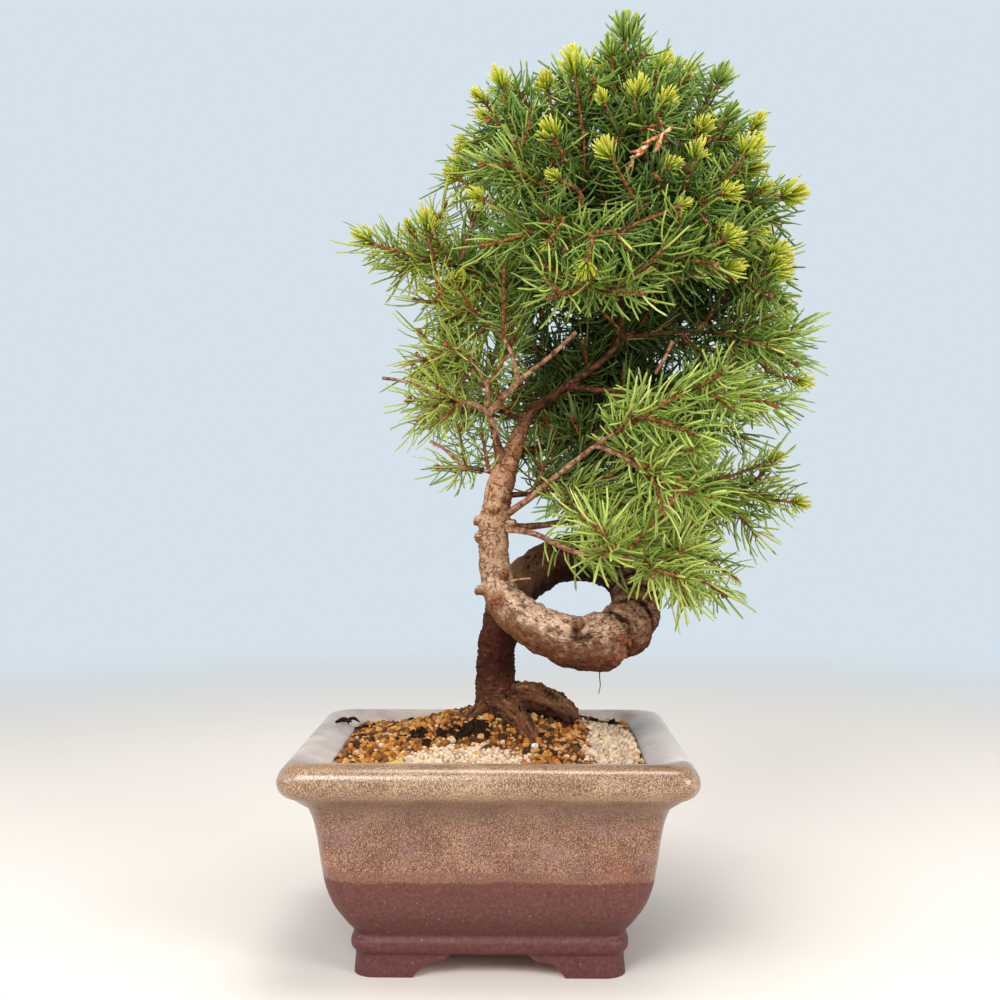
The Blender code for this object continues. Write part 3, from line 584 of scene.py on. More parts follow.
bed_finish, place, shader = finish("soil_bed", roughness=0.95)
# Painted shade: the bed is darker than the grains and pumice chips, as the shade in the gaps between them.
soil_dark = place.cloud(700.0, 3.0).ramp((0.3, paint(34, 18, 9)), (0.7, paint(88, 50, 22)))
pumice_dark = place.cloud(700.0, 3.0).ramp((0.3, paint(120, 90, 64)), (0.7, paint(192, 156, 122)))
plug(attribute(place, "pumice").blend(soil_dark, pumice_dark), shader["Base Color"])
plug(bump(place.cloud(900.0, 2.0), 0.6 * MM), shader["Normal"])
bed.data.materials.append(bed_finish)

tree, wires = new_tree("grains_on_a_bed", {"Where": "String", "Spacing": "Float", "Smallest": "Float",
                                           "Largest": "Float", "Sink": "Float", "Seed": "Int",
                                           "Grains": "Collection", "Material": "Material"})
bed_mesh = wires["Geometry"]
normal = bed_mesh.node("GeometryNodeInputNormal", {}, {})
upward = normal.part(2)
share = carried(bed_mesh, wires["Where"])
points = bed_mesh.node("GeometryNodeDistributePointsOnFaces", {"distribute_method": "POISSON"},
                       {0: bed_mesh, 1: upward.math("GREATER_THAN", 0.5), "Distance Min": wires["Spacing"],
                        "Density Max": CROWDING, "Density Factor": share, "Seed": wires["Seed"]})
size = random_value(points, 0.0, 1.0, 3)
size = wires["Smallest"] + size * size * (wires["Largest"] - wires["Smallest"])
spin = points.node("FunctionNodeRandomValue", {"data_type": "FLOAT_VECTOR"},
                   {0: (0.0, 0.0, 0.0), 1: (math.tau, math.tau, math.tau), 8: 5})
spin = spin.node("FunctionNodeEulerToRotation", {}, {0: spin})
kinds = points.node("GeometryNodeCollectionInfo", {}, {0: wires["Grains"], 1: True, 2: True})
grains = points.node("GeometryNodeInstanceOnPoints", {},
                     {0: points, 2: kinds, 3: True, 4: random_value(points, 0.0, GRAIN_KINDS, 9), 5: spin,
                      6: size})
grains = keep_value(grains, "tone", random_value(grains, 0.0, 1.0, 11), "INSTANCE")
sunk = random_value(grains, -1.0, 1.0, 12) * wires["Sink"]
offset = sunk.node("ShaderNodeCombineXYZ", {}, {2: sunk})
grains = grains.node("GeometryNodeTranslateInstances", {}, {0: grains, 2: offset, 3: False})
close_tree(grains, wires["Material"])

crumb, place, shader = finish("fired_crumb", roughness=0.92, specular_ior_level=0.2)
tone = attribute(place, "tone")
crumb_tone = tone.ramp((0.00, paint(43, 28, 19)), (0.16, paint(79, 56, 39)), (0.26, paint(113, 79, 47)),
                       (0.36, paint(154, 90, 39)), (0.62, paint(194, 124, 55)), (0.80, paint(211, 149, 77)),
                       (0.93, paint(209, 165, 109)), (0.99, paint(224, 197, 158)))
mottle = place.cloud(1300.0, 3.0, 0.6)
crumb_tone = (mottle.rise(0.62, 0.40) * 0.5).blend(crumb_tone, paint(86, 53, 26))
burnt = attribute(place, "burnt").rise(0.15, 0.40)
plug(burnt.blend(crumb_tone, paint(28, 21, 17)), shader["Base Color"])
plug(bump(mottle, 0.35 * MM), shader["Normal"])

grain_kinds = group_of("crumbs", [lumpy_grain(f"crumb_{k}", k, 0.8) for k in range(GRAIN_KINDS)])
soil = grow("soil_grains", bed.data.copy(), tree,
            {"Where": "soil", "Spacing": 1.72 * MM, "Smallest": 1.8 * MM, "Largest": 4.1 * MM,
             "Sink": 0.45 * MM, "Seed": 2, "Grains": grain_kinds, "Material": crumb})
clear_group(grain_kinds)

char, place, shader = finish("bark_litter", roughness=0.9, specular_ior_level=0.15)
char_tone = place.cloud(700.0, 3.0, 0.6).ramp((0.35, paint(16, 10, 8)), (0.60, paint(48, 30, 20)),
                                              (0.80, paint(96, 62, 38)))
plug(char_tone, shader["Base Color"])
plug(bump(place.cloud(1100.0, 3.0, 0.6), 0.6 * MM), shader["Normal"])
grain_kinds = group_of("bark_bits", [lumpy_grain(f"bark_bit_{k}", k + 40, 0.42) for k in range(GRAIN_KINDS)])
litter = grow("bark_litter", bed.data.copy(), tree,
              {"Where": "litter", "Spacing": 1.6 * MM, "Smallest": 2.6 * MM, "Largest": 6.5 * MM,
               "Sink": 1.4 * MM, "Seed": 7, "Grains": grain_kinds, "Material": char})
clear_group(grain_kinds)
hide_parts("soil")
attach(bed, "root")
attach(soil, "root")
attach(litter, "root")

# The pumice: two patches of pale crushed stone, one along the right wall and one at the front, strewn over
# the soil as a top dressing.  Its chips are finer and flatter than the crumbs.
chip, place, shader = finish("pumice_chip", roughness=0.95)
tone = attribute(place, "tone")
chip_tone = tone.ramp((0.00, paint(172, 154, 141)), (0.14, paint(200, 172, 145)),
                      (0.40, paint(217, 189, 157)), (0.86, paint(226, 203, 172)),
                      (0.96, paint(203, 154, 98)))
pores = place.cloud(1500.0, 3.0, 0.6)
plug((pores.rise(0.60, 0.40) * 0.3).blend(chip_tone, paint(163, 134, 111)), shader["Base Color"])
plug(bump(pores, 0.35 * MM), shader["Normal"])

grain_kinds = group_of("chips", [lumpy_grain(f"chip_{k}", k + 20, 0.62) for k in range(GRAIN_KINDS)])
pumice = grow("pumice_grains", bed.data.copy(), tree,
              {"Where": "pumice", "Spacing": 1.5 * MM, "Smallest": 1.8 * MM, "Largest": 3.6 * MM,
               "Sink": 0.4 * MM, "Seed": 4, "Grains": grain_kinds, "Material": chip})
clear_group(grain_kinds)
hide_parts("pumice_front", "pumice_right")
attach(pumice, "root")

# The trunk and its roots: one old stem, trained into a full coil when it was thin.  Its bark is dark and
# plated low down, pale and flaking round the coil, and smooth tan with dark pores above it.
TRUNK = [(3, 4, 87, 10.5), (3, 4, 95, 11.0), (2.5, 5, 104, 9.8), (2, 6, 114, 8.8), (2, 7, 125, 8.5),
         (4, 8, 137, 8.5), (7, 11, 148, 9.0), (14, 18, 157, 9.6), (25, 25, 164, 10.1), (37, 27, 167, 10.5),
         (49, 22, 166, 10.5), (59, 12, 161, 10.3), (62.5, -1, 154, 10.0), (61.5, -14, 146, 10.2),
         (56, -24, 139.5, 10.9), (47, -29, 135.5, 11.6), (36, -31, 135, 11.0), (24, -30, 139, 9.8),
         (13, -27, 145, 8.8), (5, -22, 153, 7.8), (2, -18, 163, 6.8), (1, -16, 177, 6.4),
         (2, -14, 189, 6.1), (4, -12, 200, 5.8), (7, -10, 210, 5.2)]
ROOTS = [[(5, 4, 105, 7.5), (14, 2, 107, 6.6), (24, -1, 105.5, 5.8), (32, -3, 102, 4.8), (36, -4, 97, 3.6)],
         [(3, 0, 103, 7.0), (9, -9, 101, 5.4), (15, -17, 97, 4.6), (18, -21.5, 92, 3.6), (20, -24, 85, 2.0)],
         [(1, 2, 102, 6.5), (-7, -3, 99, 4.8), (-13, -6, 93, 3.4), (-17, -8, 86, 2.4)],
         [(2, 8, 102, 6.5), (-2, 17, 99, 4.6), (-4, 25, 92, 3.2), (-5, 29, 84, 2.2)],
         [(5, 9, 102, 6.0), (14, 16, 99, 4.4), (21, 22, 92, 3.0), (24, 25, 84, 2.0)]]
KNOBS = [(1, -16, 184, -8.5, 1, 1.5), (1, -16, 178, -8.0, -2, 0), (2, -20, 157, -8.5, -3, -1.5),
         (3, -13, 183, 8.0, -5, 1), (2, -14, 193, 5.5, -5, 3), (2, -14, 189, -1.0, -7.6, 1.5),
         (3, -19, 161, 3.6, -8.6, 2.4), (4, -19, 161, 2.0, -8.8, 3.4), (4, -21, 155, -1.6, -9.8, -2.6),
         (5, -21, 155, -1.2, -9.8, -4.0), (4, -21, 155, -0.4, -10.2, -1.6), (4, -21, 155, -3.0, -9.4, -3.6)]
HEALED = [[(35.8, -37.0, 141.0, 3.2), (35.6, -39.8, 143.8, 3.0), (35.6, -41.2, 145.2, 2.1)],
          [(58.0, -28.5, 148.5, 1.3), (57.5, -33.2, 144.0, 2.6), (56.0, -34.4, 138.0, 4.2),
           (54.2, -31.8, 131.0, 5.6)]]
MARKS = [(35.6, -41.5, 145.6, 4.6, 0.75), (57.4, -35.0, 143.0, 2.8, 0.7), (56.0, -37.5, 136.5, 4.6, 0.8),
         (54.2, -35.5, 129.5, 5.6, 0.8), (6.6, -28.5, 163.4, 3.4, 0.9), (2.8, -31.0, 152.0, 5.2, 0.75)]
DENTS = [(37.2, -41.8, 138.6, 2.7, 1.8), (22, -39, 141, 2.0, 0.7), (9, -33, 147, 2.2, 0.8)]
LEADER_FOOT = [(5, -11, 201, 5.2), (8, -9.8, 211, 4.5), (12, -7, 221, 3.6), (17, -3, 232, 2.9),
               (26, 0, 239, 2.2), (34, 1.5, 245, 1.8)]
LIMB_FOOT = [(6, -11, 204, 3.8), (4, -12.3, 213, 2.5), (2, -14, 221, 1.7), (0.5, -15, 226, 1.3)]
KNOB_RADII = (2.6, 2.3, 1.5)
GROOVES = (0.468, 0.500, 0.534, 0.573, 0.617)
RING_SPAN = (0.435, 0.655)
RING_FADE = 0.02
ROOT_AGE = 0.03
PLATED_TO = 0.19
SCALY_FROM = 0.78
ZONE_BLEND = 0.08
NEAREST_CHUNK = 4000
TRUNK_SIDES = 28
TRUNK_STEPS = 8
ROOT_SIDES = 16
VOXEL = 0.74 * MM
Stem = namedtuple("Stem", "places radii along across upward stations")


def stem_of(rows):
    """A stem's places, half thicknesses, directions and distance along, in metres."""
    rows = np.array(rows, float)
    places, radii = rows[:, :3] * MM + MIDDLE, rows[:, 3] * MM
    along = np.gradient(places, axis=0)
    along /= np.linalg.norm(along, axis=1)[:, None]
    side = np.cross(along[0], (0.0, 1.0, 0.0))
    across = []
    for heading in along:
        side = side - heading * side.dot(heading)
        side = side / np.linalg.norm(side)
        across.append(side)
    across = np.array(across)
    stations = np.concatenate([[0.0], np.cumsum(np.linalg.norm(np.diff(places, axis=0), axis=1))])
    return Stem(places, radii, along, across, np.cross(along, across), stations)


def add_tube(body, stem, sides, lump=0.0):
    """A closed round stem."""
    rings = []
    for i, place in enumerate(stem.places):
        level = []
        for k in range(sides):
            turn = math.tau * k / sides
            swell = 1.0 + lump * math.sin(3.0 * turn + 60.0 * stem.stations[i])
            outward = stem.across[i] * math.cos(turn) + stem.upward[i] * math.sin(turn)
            level.append(body.verts.new(Vector(place + outward * stem.radii[i] * swell)))
        rings.append(level)
    walls(body, rings)


trunk_stem = stem_of(smooth_line(TRUNK, TRUNK_STEPS))
root_stems = [stem_of(smooth_line(rows, TRUNK_STEPS)) for rows in ROOTS]
trunk_body = bmesh.new()
add_tube(trunk_body, trunk_stem, TRUNK_SIDES, 0.035)
foot_stems = [stem_of(smooth_line(rows, TRUNK_STEPS)) for rows in (LEADER_FOOT, LIMB_FOOT)]
for stem in root_stems + foot_stems:
    add_tube(trunk_body, stem, ROOT_SIDES, 0.10)
for x, y, z, dx, dy, dz in KNOBS:
    knob = [(x + dx * share, y + dy * share, z + dz * share, radius)
            for share, radius in zip((0.0, 0.8, 1.0), KNOB_RADII)]
    add_tube(trunk_body, stem_of(smooth_line(knob, 3)), 10)
for lump in HEALED:
    add_tube(trunk_body, stem_of(smooth_line(lump, 3)), 14)
trunk = body_object("trunk_and_roots", trunk_body)
fuse = trunk.modifiers.new("fuse", "REMESH")
fuse.mode = "VOXEL"
fuse.voxel_size = VOXEL
soften = trunk.modifiers.new("soften", "SMOOTH")
soften.factor = 0.5
soften.iterations = 4
settle(trunk)


def vertex_rows(mesh, name):
    """The places or the normals of a mesh's vertices."""
    values = np.zeros(len(mesh.vertices) * 3, np.float32)
    mesh.vertices.foreach_get(name, values)
    return values.reshape(-1, 3).astype(float)


# Each place on the trunk, straightened out: its offset from the middle of the nearest stem and its distance
# along, half a metre on for each stem, so that no two share a pattern.  Age is 0 at the foot of the trunk
# and 1 at its top.
stems = [trunk_stem] + root_stems + foot_stems
samples, sample_along, sample_across, sample_upward = (
    np.vstack([getattr(stem, field) for stem in stems]) for field in ("places", "along", "across", "upward"))
sample_radii = np.concatenate([stem.radii for stem in stems])
sample_station = np.concatenate([stem.stations + 0.5 * number for number, stem in enumerate(stems)])
sample_age = np.concatenate([trunk_stem.stations / trunk_stem.stations[-1]]
                            + [np.full(len(stem.stations), ROOT_AGE) for stem in root_stems]
                            + [np.full(len(stem.stations), 1.0) for stem in foot_stems])
sample_shade = np.concatenate([np.zeros(len(stem.stations)) for stem in [trunk_stem] + root_stems]
                              + [stem.stations / stem.stations[-1] for stem in foot_stems])
places = vertex_rows(trunk.data, "co")
normals = vertex_rows(trunk.data, "normal")
count = len(places)
nearest = np.zeros(count, int)
for first in range(0, count, NEAREST_CHUNK):
    chunk = slice(first, first + NEAREST_CHUNK)
    gaps = np.linalg.norm(places[chunk, None] - samples[None], axis=2) - sample_radii
    nearest[chunk] = gaps.argmin(axis=1)
offsets = places - samples[nearest]
straight = np.stack([(offsets * sample_across[nearest]).sum(1), (offsets * sample_upward[nearest]).sum(1),
                     sample_station[nearest] + (offsets * sample_along[nearest]).sum(1)], axis=1)
trunk_length = trunk_stem.stations[-1]
age = sample_age[nearest]


def soft_step(values, low, high):
    """0 below low and 1 above high, softly."""
    share = np.clip((values - low) / (high - low), 0.0, 1.0)
    return share * share * (3.0 - 2.0 * share)


# How far the bark stands out, in millimetres: plates low down, flakes round the coil and scales above it.
relief = np.zeros(count)
for i in range(count):
    spot = Vector(straight[i]) / MM
    share = age[i]
    plates = noise.voronoi(Vector((spot.x / 3.0, spot.y / 3.0, spot.z / 1.9)))[0]
    flakes = noise.voronoi(Vector((spot.x / 1.8, spot.y / 1.8, spot.z / 4.0)) + Vector((3.1, 7.7, 1.3)))[0]
    low_part = 1.0 - min(max((share - PLATED_TO) / ZONE_BLEND, 0.0), 1.0)
    high_part = min(max((share - SCALY_FROM) / ZONE_BLEND, 0.0), 1.0)
    middle_part = (1.0 - low_part) * (1.0 - high_part)
    relief[i] = (min(plates[1] - plates[0], 0.5) * (1.5 if share > 0.05 else 2.3) - 0.4) * low_part
    relief[i] += (min(flakes[1] - flakes[0], 0.45) * 1.1 - 0.2) * middle_part
    scaly = noise.voronoi(Vector((spot.x / 2.6, spot.y / 2.6, spot.z / 1.5)) + Vector((5.0, 1.0, 2.0)))[0]
    relief[i] += (min(scaly[1] - scaly[0], 0.4) * 0.9 - 0.2) * high_part
    relief[i] += noise.noise(spot * 0.20) * 0.8 * (1.0 - 0.5 * high_part)
    relief[i] += noise.noise(spot * 0.50) * 0.30
    if share < 0.05:
        ridge = Vector((spot.x * 0.35, spot.y * 0.35, spot.z * 0.10)) + Vector((9.0, 2.0, 5.0))
        relief[i] += noise.noise(ridge) * 1.6

# Rings of callus where the coil was bent hardest, at its right, with grooves between them.
around = np.arctan2(straight[:, 1], straight[:, 0])
station = age + 0.006 * np.sin(around + 1.0) + 0.003 * np.sin(around * 3.0)
to_groove = np.min([np.abs(station - groove) for groove in GROOVES], axis=0) * trunk_length / MM
ringed = (soft_step(station, RING_SPAN[0], RING_SPAN[0] + RING_FADE)
          * soft_step(-station, -RING_SPAN[1], RING_FADE * 1.5 - RING_SPAN[1]))
swollen = 2.0 * (1.0 - np.exp(-(to_groove / 3.2) ** 2)) - 0.9
relief += ringed * (swollen - 1.2 * np.exp(-(to_groove / 0.9) ** 2))

# Dents with a raised rim, and patches of scarred bark.
for x, y, z, reach, depth in DENTS:
    away = np.linalg.norm((places - (np.array([x, y, z]) * MM + MIDDLE)) * (0.55, 1.0, 1.25), axis=1) / MM
    relief -= depth * (np.exp(-(away / reach) ** 2) - 0.8 * np.exp(-(away / reach / 0.5) ** 2))
scars = np.zeros(count)
for x, y, z, reach, strength in MARKS:
    away = np.linalg.norm(places - (np.array([x, y, z]) * MM + MIDDLE), axis=1) / MM
    scars = np.maximum(scars, strength * soft_step(-away, -reach, -reach * 0.6))
places = places + normals * (relief * MM)[:, None]
trunk.data.vertices.foreach_set("co", places.astype(np.float32).ravel())
trunk.data.update()
trunk.data.shade_smooth()
store(trunk.data, "straight", straight, "FLOAT_VECTOR")
store(trunk.data, "age", age)
store(trunk.data, "upward", normals[:, 2])
store(trunk.data, "relief", relief)
store(trunk.data, "leader", sample_shade[nearest])
store(trunk.data, "scar", scars)

bark, place, shader = finish("trunk_bark", roughness=0.85, specular_ior_level=0.15)
straight_place = attribute(place, "straight", 1)
age_mask = attribute(place, "age") + (place.cloud(90.0) - 0.5) * 0.05
# Painted light: lit is 1 where the bark faces up and 0 where it faces down, and the bark is painted paler on
# top and darker beneath by it.
lit = (attribute(place, "upward") + (place.cloud(170.0, 3.0) - 0.5) * 0.7).rise(-0.45, 0.55)
# Along the trunk these ramps make the back of the coil dark: partly its own dark bark and partly painted
# shade.
deep = age_mask.ramp((0.00, paint(28, 14, 8)), (0.18, paint(30, 11, 6)), (0.45, paint(28, 13, 7)),
                     (0.58, paint(58, 30, 15)), (0.68, paint(88, 52, 30)), (0.84, paint(110, 74, 48)),
                     (1.00, paint(102, 68, 42)))
plain_over = age_mask.ramp((0.00, paint(106, 68, 45)), (0.07, paint(88, 50, 34)), (0.12, paint(68, 30, 18)),
                           (0.18, paint(82, 44, 30)), (0.24, paint(134, 100, 76)),
                           (0.29, paint(96, 62, 42)), (0.35, paint(60, 32, 20)), (0.45, paint(92, 56, 38)),
                           (0.58, paint(138, 98, 72)), (0.67, paint(180, 142, 114)),
                           (0.80, paint(192, 156, 128)), (0.92, paint(190, 150, 118)),
                           (1.00, paint(158, 112, 80)))
plain_under = age_mask.ramp((0.00, paint(58, 32, 19)), (0.12, paint(48, 17, 9)), (0.45, paint(52, 24, 13)),
                            (0.58, paint(70, 35, 16)), (0.70, paint(92, 50, 24)),
                            (0.82, paint(126, 80, 48)), (1.00, paint(130, 86, 54)))
bright = age_mask.ramp((0.00, paint(158, 118, 88)), (0.15, paint(98, 56, 38)), (0.45, paint(136, 94, 70)),
                       (0.60, paint(188, 150, 122)), (0.70, paint(220, 194, 174)),
                       (0.82, paint(218, 186, 160)), (1.00, paint(202, 162, 128)))
banded = straight_place.stretched(0.8, 0.8, 2.6).cloud(300.0, 4.0, 0.65)
fibrous = straight_place.stretched(1.0, 1.0, 0.22).cloud(520.0, 4.0, 0.65)
root_zone = age_mask.rise(0.08, 0.045)
banded = banded * (1.0 - root_zone) + fibrous * root_zone
flaky = straight_place.stretched(1.0, 1.0, 0.45).cloud(640.0, 4.0, 0.65, 0.6)
fine = straight_place.stretched(1.0, 1.0, 0.8).cloud(1200.0, 2.0, 0.6)
low_zone = age_mask.rise(0.30, 0.18)
pattern = low_zone * banded + (1.0 - low_zone) * flaky
pattern = pattern * 0.75 + fine * 0.25
plain = lit.blend(plain_under, plain_over)
bark_tone = pattern.rise(0.36, 0.50).blend(deep, plain)
# Pale flecks kept mostly to the bark's upper side: partly its own pale bark and partly painted highlight.
bark_tone = (pattern.rise(0.52, 0.66) * (lit * lit * 0.90 + 0.05)).blend(bark_tone, bright)
wander = straight_place.node("ShaderNodeTexNoise", {}, {"Vector": straight_place, "Scale": 500.0}, 1)
wander = wander.stretched(0.0016, 0.0016, 0.0016)
wandering = straight_place.node("ShaderNodeVectorMath", {"operation": "ADD"}, {0: straight_place, 1: wander})
flake_edge = wandering.stretched(1.15, 1.15, 0.46).cells(640.0, "DISTANCE_TO_EDGE")
middle_zone = age_mask.rise(0.30, 0.42) * age_mask.rise(0.86, 0.76)
# Curling flakes: the dark line along their edges is partly a split and partly painted shadow under them, and
# the paler rim beside it is partly paler bark and partly painted highlight, lighter where the bark faces up.
split_and_painted_shadow = flake_edge.rise(0.12, 0.03) * place.cloud(420.0, 3.0).rise(0.50, 0.60) * middle_zone
curled = flake_edge.rise(0.24, 0.10) * place.cloud(320.0, 3.0).rise(0.45, 0.55) * middle_zone
curled = curled * (lit * 0.8 + 0.2)
bark_tone = (curled * 0.45).blend(bark_tone, bright)
bark_tone = (split_and_painted_shadow * 0.75).blend(bark_tone, deep)
# Painted shade: above the middle of the coil the bark is painted dark where it faces down, along with dark
# stains round the coil.
painted_underside_shade = attribute(place, "upward").rise(-0.20, -0.80) * age_mask.rise(0.60, 0.66)
stain_and_painted_shade = (place.cloud(150.0, 4.0, 0.65).rise(0.55, 0.63) * middle_zone).math("MAXIMUM", painted_underside_shade * 0.75)
bark_tone = (stain_and_painted_shade * 0.75).blend(bark_tone, deep)
# The bark is painted dark in its recesses: partly its own dark cracks and partly painted shade.
cracks = attribute(place, "relief").rise(-0.20, -1.10)
bark_tone = (cracks * 0.9).blend(bark_tone, paint(34, 18, 12))
pores = straight_place.stretched(1.0, 1.0, 1.9).cells(400.0).rise(0.27, 0.15)
pores = pores * place.cloud(300.0).rise(0.40, 0.48) * age_mask.rise(0.70, 0.84)
bark_tone = (pores * 0.85).blend(bark_tone, paint(78, 50, 34))
chipped = straight_place.stretched(0.7, 0.7, 1.5).cells(300.0, "DISTANCE_TO_EDGE").rise(0.14, 0.03)
chipped = chipped * place.cloud(260.0, 3.0).rise(0.46, 0.56) * age_mask.rise(0.76, 0.84)
bark_tone = (chipped * 0.7).blend(bark_tone, paint(86, 54, 36))
scar_tone = place.cloud(620.0, 4.0, 0.65).ramp((0.36, paint(48, 22, 14)), (0.48, paint(112, 62, 42)),
                                               (0.62, paint(160, 102, 74)))
bark_tone = attribute(place, "scar").blend(bark_tone, scar_tone)
algae = place.cloud(150.0, 5.0, 0.65).rise(0.55, 0.62) * age_mask.rise(0.12, 0.06)
bark_tone = (algae * 0.55).blend(bark_tone, paint(62, 66, 24))
shaded = attribute(place, "leader").rise(0.10, 0.75)
leader_tone = pattern.rise(0.36, 0.64).blend(paint(34, 20, 12), paint(92, 58, 36))
bark_tone = shaded.blend(bark_tone, leader_tone)
plug(bark_tone, shader["Base Color"])
plug(pattern * 0.3 + 0.62, shader["Roughness"])
bark_height = pattern * 1.4 - pores * 0.5 - chipped * 0.8 - split_and_painted_shadow * 0.9 + curled * 0.3
plug(bump(bark_height, 0.6 * MM), shader["Normal"])
trunk.data.materials.append(bark)
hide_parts("tree")
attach(trunk, "root")

